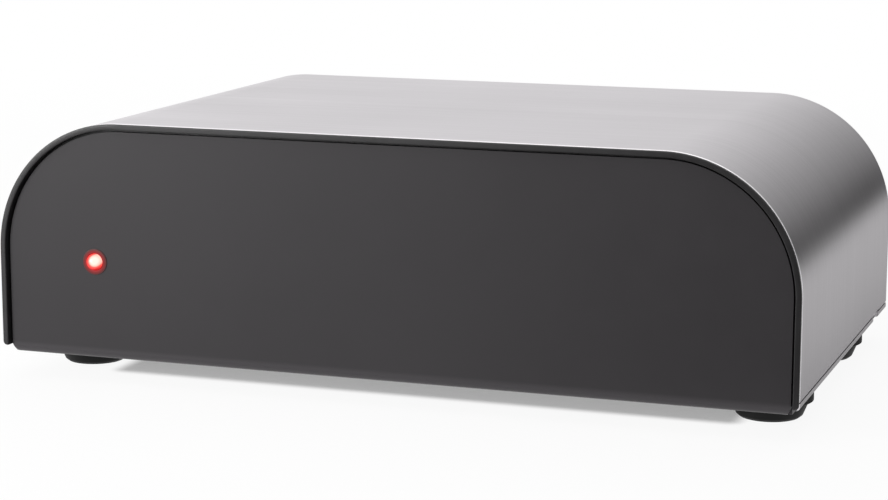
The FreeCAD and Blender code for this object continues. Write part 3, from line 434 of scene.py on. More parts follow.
def make_tray():
    """Front panel and floor as one bent sheet: an arched face, a bend and the floor."""
    inset = RIM_WIDTH + PANEL_GAP
    side, corner = HALF - inset, CORNER - inset
    bend_top = PANEL_BEND - FLOOR_DROP
    half_arch = [(side, bend_top)]
    for step in range(ARC_STEPS + 1):
        angle = math.pi / 2 * step / ARC_STEPS
        half_arch.append((HALF - CORNER + corner * math.cos(angle),
                          HEIGHT - CORNER + corner * math.sin(angle)))
    outline = half_arch + [(-x, z) for x, z in reversed(half_arch)]
    bm = bmesh.new()
    faces = [[bm.verts.new(at(x, depth, z)) for x, z in outline]
             for depth in (PANEL_RECESS, PANEL_RECESS + SHEET)]
    for ring in faces:
        bm.faces.new(ring)
    front, back = faces
    for index in range(len(outline) - 1):
        bm.faces.new([front[index], front[index + 1], back[index + 1], back[index]])
    section = []
    for step in range(2 * ROUND_STEPS + 1):
        angle = math.pi / 2 * step / (2 * ROUND_STEPS)
        spots = []
        for radius in (PANEL_BEND, PANEL_BEND - SHEET):
            spots.append((PANEL_RECESS + PANEL_BEND - radius * math.cos(angle),
                          bend_top - radius * math.sin(angle)))
        section.append(spots)
    section.append([(REAR_FACE, -FLOOR_DROP), (REAR_FACE, 0.0)])
    rows = [[bm.verts.new(at(x, depth, z)) for x in (-side, side) for depth, z in spots]
            for spots in section]
    for here, ahead in zip(rows, rows[1:]):
        for first, second in ((0, 2), (1, 3), (0, 1), (2, 3)):
            bm.faces.new([here[first], here[second], ahead[second], ahead[first]])
    last = rows[-1]
    bm.faces.new([last[0], last[2], last[3], last[1]])
    tray = to_object(bm, "tray_sheet")
    bm = bmesh.new()
    low, step_x = -FLOOR_DROP, side - PANEL_CORNER_CUT
    for sign in (-1, 1):
        shoulder = low + PANEL_CORNER_RISE
        outline = [(sign * step_x, low - 1), (sign * step_x, low), (sign * side, shoulder),
                   (sign * (side + 1), shoulder), (sign * (side + 1), low - 1)]
        slab_on(bm, outline, PANEL_RECESS - 1, PANEL_RECESS + PANEL_BEND, "XZ")
    carve(tray, to_object(bm, "corner_cuts"))
    soft_edges(tray, TRAY_EDGE)
    lamp_x, _, lamp_z = node_middle("power_lamp")
    carve(tray, pegs([(lamp_x, lamp_z, LAMP_HOLE)], 0, PANEL_RECESS + 2 * SHEET))
    holes = [(x, y, THREAD_HOLE) for x, y in FOOT_SPOTS + COVER_SCREW_SPOTS + TAB_SCREW_SPOTS]
    holes += [(x, y, STANDOFF_HOLE) for x, y in STANDOFF_SPOTS]
    return carve(tray, pegs(holes, -2 * SHEET, SHEET, "XY"))


def make_rear_sheet():
    """The rear sheet with its holes, and the tab bent forward on the floor."""
    inset = COVER_WALL + REAR_FIT
    gap, side, top = HALF - FLANGE_REACH - REAR_FIT, HALF - inset, HEIGHT - inset
    corner = CORNER - inset
    outline = [(-gap, 0), (gap, 0), (gap, inset), (side, inset), (side, top, corner),
               (-side, top, corner), (-side, inset), (-gap, inset)]
    sheet = slab("rear_sheet", soften(outline, steps=ARC_STEPS), REAR_INNER, REAR_FACE)
    tab_side, tab_reach = HALF - 19.0, 9.0
    tab = slab("tab", rectangle(-tab_side, tab_side, REAR_FACE - tab_reach, REAR_INNER + SHEET / 2),
               0, SHEET, "XY")
    carve(sheet, tab, "UNION")
    holes = []
    for stem in SOCKET_STEMS:
        x, _, z = node_middle(stem + "_barrel")
        holes.append((x, z, BARREL_HOLE))
    holes += [(x, z, SOCKET_SCREW_HOLE) for x, z in between_sockets()]
    stud = node_middle("ground_stud")
    holes.append((stud[0], stud[2], STUD_HOLE))
    nose = node_middle("power_inlet_pin")
    holes.append((nose[0], nose[2], INLET_HOLE))
    carve(sheet, pegs(holes, REAR_INNER - 1, REAR_FACE + 1))
    tab_holes = [(x, y, TAB_HOLE) for x, y in TAB_SCREW_SPOTS]
    carve(sheet, pegs(tab_holes, -1, 2 * SHEET, "XY"))
    return soft_edges(sheet, REAR_EDGE)


def make_feet():
    """Four rubber feet with a wide collar."""
    tall, seat = FOOT_HEIGHT, FOOT_SEAT
    sole, waist, collar, well = 5.3, 6.9, 7.7, 3.2
    corners = [(well, 0), (sole, 0, 0.25), (sole + 0.6, 0.5, 0.2), (waist, tall - 1.9, 0.2),
               (collar, tall - 1.7, 0.15), (collar, tall, 0.2), (THREAD_HOLE, tall),
               (THREAD_HOLE, seat, 0.1), (well, seat, 0.1)]
    feet = []
    for name in ("front_left", "front_right", "rear_left", "rear_right"):
        x, y, _ = node_middle("foot_" + name)
        origin = at(x, y, -BASE / MM)
        foot = lathe("rubber_foot_" + name, corners, origin, UPWARD, WIDE_SIDES)
        feet.append((foot, "foot_" + name))
    return feet


# Screws and turned pieces

def screw_set(name, spots, axis, shank, length, head, tall, recess):
    """Pan head screws: each spot is the underside of a head, the axis points out of it."""
    bm = bmesh.new()
    chamfer = 0.2
    corners = [(0, -length), (shank - chamfer, -length), (shank, -length + chamfer), (shank, 0),
               (head, 0, 0.12), (head, tall * 0.45, 0.35), (head * 0.72, tall * 0.93, 0.5), (0, tall)]
    for spot in spots:
        turn_on(bm, soften(corners, closed=False), spot, axis, SMALL_SIDES)
    screws = to_object(bm, name)
    span, width, depth = recess
    blade = ((tall - depth, span * 0.3, width * 0.35), (tall + 0.3, span * 0.55, width * 0.5))
    bm = bmesh.new()
    across, beside = axes_for(axis)
    for spot in spots:
        for long_way, short_way in ((across, beside), (beside, across)):
            loops = []
            for level, reach, half in blade:
                middle = spot + axis * (level * MM)
                ring = [middle + long_way * (a * reach * MM) + short_way * (b * half * MM)
                        for a, b in ((-1, -1), (1, -1), (1, 1), (-1, 1))]
                loops.append([bm.verts.new(point) for point in ring])
            close_loops(bm, *loops)
    return carve(screws, to_object(bm, "cross"), overlapping=True)


def make_screws():
    """All the screws that show: under the floor, in the feet and on the rear."""
    cross, small_cross = (3.0, 0.7, 1.1), (2.4, 0.5, 0.8)
    in_feet = [at(x, y, FOOT_SEAT - BASE / MM) for x, y in FOOT_SPOTS]
    in_cover = [at(x, y, -FLOOR_DROP) for x, y in COVER_SCREW_SPOTS]
    in_tab = [at(x, y, -FLOOR_DROP) for x, y in TAB_SCREW_SPOTS]
    in_rear = [at(x, REAR_FACE, z) for x, z in between_sockets()]
    foot_reach, cover_reach = FOOT_HEIGHT - FOOT_SEAT + SHEET + 2.0, SHEET + COVER_WALL + 0.6
    tab_reach, rear_reach = 2 * SHEET + 1.2, SHEET + 6.0
    # Name, spots, axis, shank radius, length, head radius and height, recess, node
    plans = (
        ("foot_screw_set", in_feet, DOWNWARD, 1.5, foot_reach, 2.8, 1.9, cross, "foot_screws"),
        ("cover_screw_set", in_cover, DOWNWARD, 1.5, cover_reach, 2.2, 0.9, small_cross, "cover_screws"),
        ("tab_screw_set", in_tab, DOWNWARD, 1.5, tab_reach, 2.8, 1.9, cross, "rear_panel_screws"),
        ("socket_screw_set", in_rear, REARWARD, 1.2, rear_reach, 2.0, 1.4, small_cross, "socket_screws"),
    )
    return [(screw_set(*plan[:-1]), plan[-1], "dark_screws") for plan in plans]


def make_sockets():
    """Phono sockets: plated barrel, moulded insert and sprung contact, four times."""
    pieces = []
    tip = SHEET + 8.8
    face = tip - 0.9
    groove = face - 0.25
    inside, outside, flange, mouth = 3.65, 4.15, 4.4, 1.65
    barrel = [(inside, -2), (flange, -2), (flange, SHEET, 0.08), (outside, SHEET), (outside, tip, 0.2),
              (inside, tip, 0.15)]
    insert = [(mouth, -2), (mouth, face - 0.35), (2.0, face, 0.08), (2.55, face, 0.08), (2.7, groove, 0.06),
              (2.95, groove, 0.06), (3.1, face, 0.08), (3.6, face, 0.15), (3.6, -2)]
    contact = [(mouth, -8), (2.0, -8), (2.0, -2), (mouth, -2)]
    for stem in SOCKET_STEMS:
        x, _, z = node_middle(stem + "_barrel")
        origin = at(x, REAR_INNER, z)
        colour = "insert_white" if stem.startswith("left") else "insert_red"
        for name, corners, sides, part, finish in (
                ("_sleeve", barrel, WIDE_SIDES, "_barrel", "plated_gold"),
                ("_core", insert, WIDE_SIDES, "_insert", colour),
                ("_spring", contact, MIDDLE_SIDES, "_contact", "plated_gold")):
            pieces.append((lathe(stem + name, corners, origin, REARWARD, sides), stem + part, finish))
    return pieces


def make_inlet():
    """Power inlet: moulded block with a round nose, a bore and a centre pin."""
    x, _, z = node_middle("power_inlet_pin")
    low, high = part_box("power_inlet")
    half_width, edge_round = 4.5, 0.4
    nose_radius, bore_radius, bore_mouth, bore_depth = 3.95, 3.15, 3.45, 10
    pin_radius, pin_length = 1.05, 9.5
    outline = rectangle(x - half_width, x + half_width, (low.z - BASE) / MM, (high.z - BASE) / MM)
    block = slab("inlet_body", soften([corner + (edge_round,) for corner in outline]),
                 (low.y - FRONT) / MM, REAR_INNER)
    origin = at(x, REAR_INNER, z)
    corners = [(0, -2), (nose_radius, -2), (nose_radius, SHEET, 0.12), (0, SHEET)]
    carve(block, lathe("nose", corners, origin, REARWARD, WIDE_SIDES), "UNION")
    corners = [(0, SHEET - bore_depth), (bore_radius, SHEET - bore_depth), (bore_radius, SHEET - 0.25),
               (bore_mouth, SHEET + 0.05), (bore_mouth, SHEET + 1), (0, SHEET + 1)]
    carve(block, lathe("bore", corners, origin, REARWARD, WIDE_SIDES))
    corners = [(0, 0), (pin_radius, 0), (pin_radius, pin_length, 0.6), (0, pin_length)]
    inner_end = at(x, REAR_FACE - bore_depth, z)
    pin = lathe("inlet_contact", corners, inner_end, REARWARD, SMALL_SIDES)
    return [(block, "power_inlet", "black_plastic"), (pin, "power_inlet_pin", "plated_nickel")]


def make_terminal():
    """Ground terminal: threaded stud with a collar, plain washer, knurled knob."""
    x, _, z = node_middle("ground_stud")
    origin = at(x, REAR_INNER, z)
    root, crest, pitch, tip = 1.62, 1.93, 0.7, SHEET + 13.0
    collar, collar_radius = SHEET + 2.0, 4.2

    def thread(angle, radius, height):
        """How far the thread stands out at this angle and height."""
        if not (collar < height < tip - 0.3) or radius < 1.0:
            return 0.0
        phase = (height / pitch - angle / (2 * math.pi)) % 1.0
        return (crest - root) * min(1.0, 1.6 * abs(2 * phase - 1))

    profile = [(0, -5), (crest, -5), (crest, SHEET), (collar_radius, SHEET), (collar_radius, collar - 0.1),
               (collar_radius - 0.1, collar), (root, collar)]
    rise = pitch / 8
    levels = int((tip - 0.4 - collar) / rise)
    profile += [(root, collar + rise * (step + 1)) for step in range(levels)]
    profile += [(root, tip - 0.25), (root - 0.25, tip), (0, tip)]
    bm = bmesh.new()
    turn_on(bm, profile, origin, REARWARD, MIDDLE_SIDES, thread)
    stud = to_object(bm, "terminal_stud")

    middle = at(x, 0, z)
    middle.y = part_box("ground_washer")[0].y
    corners = [(2.0, 0, 0.06), (4.5, 0, 0.1), (4.5, 0.8, 0.18), (2.0, 0.8, 0.1)]
    washer = lathe("terminal_washer", corners, middle, REARWARD, WIDE_SIDES)

    neck, grip, knurl_count, knurl_depth = 3.9, 4.75, 24, 0.3

    def knurl(angle, radius, height):
        """The knob's flutes, only on its widest part."""
        if radius < (neck + grip) / 2:
            return 0.0
        wave = 0.5 + 0.5 * math.cos(knurl_count * angle)
        return -knurl_depth * wave ** 3

    seat = at(x, 0, z)
    seat.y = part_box("ground_knob")[0].y
    corners = [(2.0, 0, 0.1), (neck, 0, 0.15), (neck, 1.2, 0.1), (grip, 1.2, 0.3), (grip, 8.0, 0.45),
               (3.2, 8.0, 0.12), (2.6, 7.4, 0.1), (2.0, 7.4, 0.1)]
    knob = lathe("terminal_knob", corners, seat, REARWARD, knurl_count * 12, knurl)
    return [(stud, "ground_stud", "root"), (washer, "ground_washer", "ground_washer"),
            (knob, "ground_knob", "ground_knob")]


def make_lamp():
    """The lamp's round nose and body, and the thin ring that holds it in the panel."""
    x, _, z = node_middle("power_lamp")
    origin = at(x, PANEL_RECESS, z)
    body = [(0, -4), (1.9, -4), (1.9, -3, 0.1), (1.5, -3), (1.5, 1.5, 1.35), (0, 1.5)]
    lens = lathe("lamp_lens", body, origin, FORWARD, WIDE_SIDES, steps=16)
    ring = [(1.55, -2.8), (2.1, -2.8), (2.1, 0), (2.4, 0), (2.4, 0.2, 0.1), (1.55, 0.2, 0.12)]
    holder = lathe("lamp_holder", ring, origin, FORWARD, WIDE_SIDES)
    return [(lens, "power_lamp", "lamp_red"), (holder, "lamp_clip", "lamp_holder")]


# Materials. Every pattern runs on the object's own coordinates, in metres.

# A colour mix's inputs and output, by their numbers
MIX_SHARE, MIX_FIRST, MIX_SECOND, MIX_RESULT = 0, 6, 7, 2


class Finish:
    """A material under construction, with short names for the nodes it uses."""

    def __init__(self, name, colour, metallic=0.0, roughness=0.5, specular=0.5):
        self.material = bpy.data.materials.new(name)
        self.material.use_nodes = True
        self.nodes = self.material.node_tree.nodes
        self.links = self.material.node_tree.links
        self.shader = self.nodes["Principled BSDF"]
        self.colour = colour
        self.shader.inputs["Base Color"].default_value = colour + (1.0,)
        self.shader.inputs["Metallic"].default_value = metallic
        self.shader.inputs["Roughness"].default_value = roughness
        self.shader.inputs["Specular IOR Level"].default_value = specular
        self.place = self.nodes.new("ShaderNodeTexCoord").outputs["Object"]

    def noise(self, size, stretch=(1, 1, 1), detail=3.0, roughness=0.6):
        """A noise whose grains are about this many metres across, times the stretch."""
        mapping = self.nodes.new("ShaderNodeMapping")
        mapping.inputs["Scale"].default_value = [1 / (size * way) for way in stretch]
        self.links.new(self.place, mapping.inputs["Vector"])
        noise = self.nodes.new("ShaderNodeTexNoise")
        noise.inputs["Scale"].default_value = 1.0
        noise.inputs["Detail"].default_value = detail
        noise.inputs["Roughness"].default_value = roughness
        self.links.new(mapping.outputs["Vector"], noise.inputs["Vector"])
        return noise.outputs["Fac"]

    def between(self, value, low, high):
        """The value, from about 0.3 to 0.7, spread between low and high."""
        spread = self.nodes.new("ShaderNodeMapRange")
        spread.inputs["From Min"].default_value = 0.3
        spread.inputs["From Max"].default_value = 0.7
        spread.inputs["To Min"].default_value = low
        spread.inputs["To Max"].default_value = high
        self.links.new(value, spread.inputs["Value"])
        return spread.outputs["Result"]

    def times(self, factor):
        """The base colour, this many times as pale."""
        return tuple(min(1.0, part * factor) for part in self.colour) + (1.0,)

    def tint(self, value, low, high):
        """The base colour, lighter and darker with the value."""
        mix = self.nodes.new("ShaderNodeMix")
        mix.data_type = "RGBA"
        mix.inputs[MIX_FIRST].default_value = self.times(low)
        mix.inputs[MIX_SECOND].default_value = self.times(high)
        self.links.new(self.between(value, 0.0, 1.0), mix.inputs[MIX_SHARE])
        self.links.new(mix.outputs[MIX_RESULT], self.shader.inputs["Base Color"])
        return mix.outputs[MIX_RESULT]

    def pale_towards(self, tone, axis, start, stop, factor):
        """The tone, this many times as pale where the axis has passed from start to stop."""
        split = self.nodes.new("ShaderNodeSeparateXYZ")
        self.links.new(self.place, split.inputs["Vector"])
        along = self.nodes.new("ShaderNodeMapRange")
        along.inputs["From Min"].default_value = start
        along.inputs["From Max"].default_value = stop
        self.links.new(split.outputs[axis], along.inputs["Value"])
        mix = self.nodes.new("ShaderNodeMix")
        mix.data_type = "RGBA"
        mix.inputs[MIX_SECOND].default_value = self.times(factor)
        self.links.new(along.outputs["Result"], mix.inputs[MIX_SHARE])
        self.links.new(tone, mix.inputs[MIX_FIRST])
        self.links.new(mix.outputs[MIX_RESULT], self.shader.inputs["Base Color"])

    def roughen(self, value, low, high):
        """A roughness that changes with the value."""
        self.links.new(self.between(value, low, high), self.shader.inputs["Roughness"])

    def bump(self, value, height):
        """A relief of this height in metres."""
        bump = self.nodes.new("ShaderNodeBump")
        bump.inputs["Distance"].default_value = height
        bump.inputs["Strength"].default_value = 1.0
        self.links.new(value, bump.inputs["Height"])
        self.links.new(bump.outputs["Normal"], self.shader.inputs["Normal"])


def brushed_cover():
    """Clear anodised aluminium, finely brushed across the width and down the sides, with a painted
    highlight along the front edge.
    """
    finish = Finish("brushed_cover", (0.56, 0.542, 0.56), metallic=1.0, roughness=0.33)
    finish.shader.inputs["Specular Tint"].default_value = (0.64, 0.64, 0.64, 1)
    lines = finish.noise(0.0012, (60, 0.22, 60), detail=4.0, roughness=0.7)
    clouds = finish.noise(0.05, (1.6, 0.8, 1.6), detail=2.0)
    tone = finish.tint(lines, 0.9, 1.08)
    # Painted highlight: the base colour is 1.8 times as pale up to 0.6 mm behind the cover's front edge,
    # fading out by 0.8 mm. This bright line stands in for light caught by the front bevel.
    edge = FRONT + COVER_START * MM
    finish.pale_towards(tone, "Y", edge + 0.8 * MM, edge + 0.6 * MM, 1.8)
    finish.roughen(clouds, 0.31, 0.35)
    finish.bump(lines, 0.000004)
    finish.shader.inputs["Anisotropic"].default_value = 0.6
    finish.shader.inputs["Anisotropic Rotation"].default_value = 0.25
    tangent = finish.nodes.new("ShaderNodeTangent")
    tangent.direction_type = "RADIAL"
    tangent.axis = "Y"
    finish.links.new(tangent.outputs["Tangent"], finish.shader.inputs["Tangent"])
    return finish.material


def rear_paint():
    """Dull dark lacquer on the rear sheet, with a very fine grain."""
    finish = Finish("rear_paint", (0.045, 0.044, 0.047), roughness=0.55)
    finish.tint(finish.noise(0.03, detail=2.0), 0.97, 1.03)
    finish.roughen(finish.noise(0.004), 0.53, 0.58)
    finish.bump(finish.noise(0.0003, detail=2.0), 0.00002)
    return finish.material


def panel_paint():
    """Dark grey lacquer, with a painted reflection of the pale floor: a little paler where the sheet bends
    under the case.
    """
    finish = Finish("panel_paint", (0.041, 0.0382, 0.041), roughness=0.4, specular=0.2)
    tone = finish.tint(finish.noise(0.03, detail=2.0), 0.97, 1.03)
    # Painted reflection: the base colour grows paler from 2.2 mm above the sheet's lowest point, up to 2.3
    # times as pale by 0.3 mm. This stands in for the bend mirroring the pale floor.
    lower_edge = BASE - FLOOR_DROP * MM
    finish.pale_towards(tone, "Z", lower_edge + 2.2 * MM, lower_edge + 0.3 * MM, 2.3)
    finish.roughen(finish.noise(0.004), 0.38, 0.43)
    finish.bump(finish.noise(0.0006, detail=2.0), 0.000003)
    return finish.material


def moulded(name, colour, roughness, height=0.000006, scuff=0.04, specular=0.5):
    """Moulded plastic or rubber with an eroded-mould grain."""
    finish = Finish(name, colour, roughness=roughness, specular=specular)
    finish.tint(finish.noise(0.006, detail=4.0), 0.88, 1.12)
    finish.roughen(finish.noise(0.002), roughness - scuff, roughness + scuff)
    finish.bump(finish.noise(0.0002, detail=3.0), height)
    return finish.material


def plated(name, colour, roughness):
    """Plated metal with fine marks from turning."""
    finish = Finish(name, colour, metallic=1.0, roughness=roughness)
    finish.tint(finish.noise(0.003, detail=3.0), 0.93, 1.05)
    finish.roughen(finish.noise(0.0012, detail=4.0), roughness - 0.05, roughness + 0.07)
    finish.bump(finish.noise(0.0003, (4, 0.3, 4), detail=2.0), 0.0000015)
    return finish.material


def away_from_lamp(finish, reach, shift=(0.0, 0.0)):
    """The distance from the lamp's shifted axis, as a share of the reach in millimetres."""
    x, _, z = node_middle("power_lamp")
    x, z = x + shift[0], z + shift[1]
    away = finish.nodes.new("ShaderNodeVectorMath")
    away.operation = "SUBTRACT"
    away.inputs[1].default_value = at(x, PANEL_RECESS, z)
    finish.links.new(finish.place, away.inputs[0])
    flat = finish.nodes.new("ShaderNodeVectorMath")
    flat.operation = "MULTIPLY"
    flat.inputs[1].default_value = (1.0, 0.0, 1.0)
    finish.links.new(away.outputs["Vector"], flat.inputs[0])
    length = finish.nodes.new("ShaderNodeVectorMath")
    length.operation = "LENGTH"
    finish.links.new(flat.outputs["Vector"], length.inputs[0])
    share = finish.nodes.new("ShaderNodeMapRange")
    share.inputs["From Max"].default_value = reach * MM
    finish.links.new(length.outputs["Value"], share.inputs["Value"])
    return share.outputs["Result"]


def glow_by(finish, share, stops):
    """An emission whose colour follows the share through its stops."""
    ramp = finish.nodes.new("ShaderNodeValToRGB")
    first, last = ramp.color_ramp.elements
    first.position, first.color = stops[0][0], stops[0][1] + (1,)
    last.position, last.color = stops[-1][0], stops[-1][1] + (1,)
    for position, colour in stops[1:-1]:
        ramp.color_ramp.elements.new(position).color = colour + (1,)
    finish.links.new(share, ramp.inputs["Fac"])
    finish.links.new(ramp.outputs["Color"], finish.shader.inputs["Emission Color"])
    finish.shader.inputs["Emission Strength"].default_value = 1.0


LAMP_CORE = (0.55, 0.4)


def lamp_red():
    """A lit red lamp: nearly white beside the middle of its nose, deep red at its edge."""
    finish = Finish("lamp_red", (0.8, 0.05, 0.04), roughness=0.25)
    stops = [(0.35, (1.0, 0.9, 0.78)), (0.6, (1.0, 0.6, 0.48)), (0.74, (0.85, 0.1, 0.08)),
             (1.0, (0.42, 0.006, 0.008))]
    glow_by(finish, away_from_lamp(finish, 1.6, LAMP_CORE), stops)
    finish.roughen(finish.noise(0.0008), 0.2, 0.3)
    return finish.material


def lamp_holder():
    """The lamp's dark holder, with a painted red glow where it touches the lamp: emission that stands in
    for the lamp's light falling on it.
    """
    finish = Finish("lamp_holder", (0.02, 0.01, 0.01), roughness=0.4, specular=0.2)
    # Painted light: the red glow, brightest beside the lamp and fading out towards the holder's rim, is
    # emission in place of the lamp's light on the holder.
    stops = [(0.6, (0.5, 0.004, 0.006)), (0.8, (0.24, 0.006, 0.008)), (0.9, (0.14, 0.012, 0.012)),
             (1.0, (0.08, 0.03, 0.03))]
    glow_by(finish, away_from_lamp(finish, 2.4), stops)
    finish.roughen(finish.noise(0.0008), 0.35, 0.45)
    return finish.material


def board_green():
    """Green solder mask over a glass weave, with paler copper areas under it."""
    finish = Finish("board_green", (0.015, 0.11, 0.045), roughness=0.35)
    copper = finish.noise(0.008, detail=0.0)
    finish.tint(copper, 0.75, 1.5)
    finish.bump(finish.noise(0.0006, detail=1.0), 0.00001)
    return finish.material


def banded(name, colour, roughness):
    """A moulded or sleeved component body with a slight gloss variation."""
    finish = Finish(name, colour, roughness=roughness)
    finish.tint(finish.noise(0.002, detail=2.0), 0.9, 1.1)
    finish.roughen(finish.noise(0.001), roughness - 0.06, roughness + 0.06)
    finish.bump(finish.noise(0.0005), 0.000006)
    return finish.material


def all_materials():
    """Every finish, by the name of its slot."""
    return {
        "brushed_cover": brushed_cover(),
        "trim_plastic": moulded("trim_plastic", (0.022, 0.021, 0.022), 0.34, scuff=0.03, specular=0.35),
        "panel_paint": panel_paint(),
        "rear_paint": rear_paint(),
        "foot_rubber": moulded("foot_rubber", (0.005, 0.005, 0.005), 0.6, height=0.00001, specular=0.2),
        "dark_screws": plated("dark_screws", (0.12, 0.12, 0.125), 0.38),
        "bright_screws": plated("bright_screws", (0.62, 0.62, 0.6), 0.3),
        "board_green": board_green(),
        "lamp_red": lamp_red(),
        "lamp_holder": lamp_holder(),
        "black_plastic": moulded("black_plastic", (0.02, 0.02, 0.022), 0.4),
        "tinned_wire": plated("tinned_wire", (0.72, 0.72, 0.7), 0.25),
        "plated_nickel": plated("plated_nickel", (0.7, 0.69, 0.66), 0.22),
        "plated_gold": plated("plated_gold", (0.86, 0.64, 0.28), 0.24),
        "insert_white": moulded("insert_white", (0.8, 0.8, 0.78), 0.4),
        "insert_red": moulded("insert_red", (0.6, 0.03, 0.03), 0.4),
        "chip_plastic": moulded("chip_plastic", (0.025, 0.025, 0.027), 0.6),
        "capacitor_sleeve": banded("capacitor_sleeve", (0.03, 0.06, 0.16), 0.3),
        "film_red": banded("film_red", (0.5, 0.05, 0.04), 0.35),
        "film_yellow": banded("film_yellow", (0.65, 0.42, 0.05), 0.35),
        "resistor_blue": banded("resistor_blue", (0.2, 0.42, 0.6), 0.45),
    }


materials = all_materials()
slot_of = {part["node"]: part["material_slot"] for part in frame["record"]["subparts"]}


def dress(piece, node, finish=None, body="root"):
    """Gives a new piece its finish and its body, and hides the node that it stands for."""
    slot = slot_of[node]
    flatten_shading(piece)
    piece.data.materials.clear()
    piece.data.materials.append(materials[finish or slot])
    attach(piece, body)
    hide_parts(node)


def dress_nodes():
    """Gives each node that keeps its own mesh the finish of its slot."""
    for name, node in frame["nodes"].items():
        finish = materials[slot_of[name]]
        if not node.material_slots:
            node.data.materials.append(finish)
        for holder in node.material_slots:
            holder.material = finish


def build_object():
    """All the pieces that replace nodes."""
    dress_nodes()
    dress(make_cover(), "cover")
    dress(make_trim(), "front_bezel")
    dress(make_tray(), "chassis_tray")
    dress(make_rear_sheet(), "rear_panel")
    for foot, node in make_feet():
        dress(foot, node)
    for piece, node, finish in make_screws() + make_sockets() + make_inlet() + make_lamp():
        dress(piece, node, finish)
    for piece, node, body in make_terminal():
        dress(piece, node, body=body)


# Stage and lights in metres; the camera's place in the case frame, its angles in degrees

FLOOR_HALF = 4.0
FLOOR_GAP = 0.0001
FLOOR_LIFT = 1.0
FLOOR_TONE = 0.5
UNDER_MIDDLE = (0.002, -0.0055)
UNDER_HALF = (0.058, 0.032)
UNDER_SOFT = 0.004
UNDER_SHARE = 0.34
OPEN_SHARE = 0.92
FAR_START, FAR_STOP = 0.1, 0.5
WORLD_LEVEL = 0.3
FLAG_DARK = (0.02, 0.02, 0.02, 1)
REAR_FLAG_DEPTH = 0.5
REAR_FLAG_CENTRE = (0.06, 0.02)
REAR_FLAG_FADE = (-30, 86)
REAR_FLAG_CURVE = 1.5
FRONT_FLAG_EDGE = 0.03
FRONT_FLAG_SLANT = 0.277
FRONT_FLAG_SOFT = 0.04
SIDE_SHADE_REACH = 0.05
SIDE_SHADE_SHARE = 0.42
# Name, place, target, width, height and brightness
LAMPS = (
    ("overhead", (-0.35, 0.2, 0.9), (0, 0.12, 0), 2.1, 2.1, 0.72),
    ("left_front", (-0.32, -0.42, 0.14), (-0.07, -0.05, 0.02), 0.24, 0.24, 8.5),
    ("front", (-0.7, -0.9, 0.3), (0, 0, 0.02), 0.6, 0.4, 2.0),
)
CAMERA_SPOT = (146.85, -383.69, 97.29)
CAMERA_ANGLES = (19.317, 10.275, 0.112)
CAMERA_LENS, CAMERA_SENSOR = 96.59, 36.0


def seen_directly(nodes, links):
    """One where a surface is looked at, straight, mirrored or through glass, else zero."""
    path = nodes.new("ShaderNodeLightPath")
    total = path.outputs["Is Camera Ray"]
    for name in ("Is Glossy Ray", "Is Transmission Ray"):
        join = nodes.new("ShaderNodeMath")
        join.operation = "MAXIMUM"
        links.new(total, join.inputs[0])
        links.new(path.outputs[name], join.inputs[1])
        total = join.outputs["Value"]
    return total


class Stage:
    """The nodes of a stage material, with short calls for the sums that it needs."""

    def __init__(self, name):
        self.material = bpy.data.materials.new(name)
        self.material.use_nodes = True
        self.nodes = self.material.node_tree.nodes
        self.links = self.material.node_tree.links
        self.nodes.clear()
        place = self.nodes.new("ShaderNodeTexCoord").outputs["Object"]
        split = self.nodes.new("ShaderNodeSeparateXYZ")
        self.links.new(place, split.inputs["Vector"])
        self.x, self.y, self.z = split.outputs

    def sum(self, operation, *values):
        """One step of arithmetic on numbers and sockets."""
        step = self.nodes.new("ShaderNodeMath")
        step.operation = operation
        for value, socket in zip(values, step.inputs):
            if isinstance(value, (int, float)):
                socket.default_value = value
            else:
                self.links.new(value, socket)
        return step.outputs["Value"]

    def spread(self, value, start, stop, low=0.0, high=1.0):
        """The value, from start to stop, turned smoothly into low to high."""
        step = self.nodes.new("ShaderNodeMapRange")
        step.interpolation_type = "SMOOTHSTEP"
        for name, number in (("From Min", start), ("From Max", stop), ("To Min", low), ("To Max", high)):
            step.inputs[name].default_value = number
        self.links.new(value, step.inputs["Value"])
        return step.outputs["Result"]

    def blend(self, share, first, second):
        """Two shaders mixed by the share, as the material's surface."""
        mix = self.nodes.new("ShaderNodeMixShader")
        self.links.new(share, mix.inputs[0])
        self.links.new(first.outputs[0], mix.inputs[1])
        self.links.new(second.outputs[0], mix.inputs[2])
        out = self.nodes.new("ShaderNodeOutputMaterial")
        self.links.new(mix.outputs["Shader"], out.inputs["Surface"])
        return self.material


def floor_finish():
    """A pale floor: lifted to white where it is looked at, least of all right under the case."""
    stage = Stage("pale_floor")
    seen = seen_directly(stage.nodes, stage.links)
    diffuse = stage.nodes.new("ShaderNodeBsdfDiffuse")
    stage.links.new(stage.spread(seen, 0, 1, FLOOR_TONE, 1.0), diffuse.inputs["Color"])
    lift = stage.nodes.new("ShaderNodeEmission")
    lift.inputs["Strength"].default_value = FLOOR_LIFT
    sides = []
    for place, middle, half in zip((stage.x, stage.y), UNDER_MIDDLE, UNDER_HALF):
        off = stage.sum("ABSOLUTE", stage.sum("SUBTRACT", place, middle))
        beyond = stage.sum("MAXIMUM", stage.sum("SUBTRACT", off, half), 0.0)
        sides.append(stage.sum("MULTIPLY", beyond, beyond))
    away = stage.sum("SQRT", stage.sum("ADD", *sides))
    near = stage.spread(away, 0.0, UNDER_SOFT, UNDER_SHARE, OPEN_SHARE)
    far = stage.spread(away, FAR_START, FAR_STOP, 0.0, 1.0 - OPEN_SHARE)
    share = stage.sum("MULTIPLY", seen, stage.sum("ADD", near, far))
    return stage.blend(share, diffuse, lift)


def flag_parts(stage):
    """The clear and the dark shader of a flag."""
    clear = stage.nodes.new("ShaderNodeBsdfTransparent")
    dark = stage.nodes.new("ShaderNodeBsdfDiffuse")
    dark.inputs["Color"].default_value = FLAG_DARK
    return clear, dark


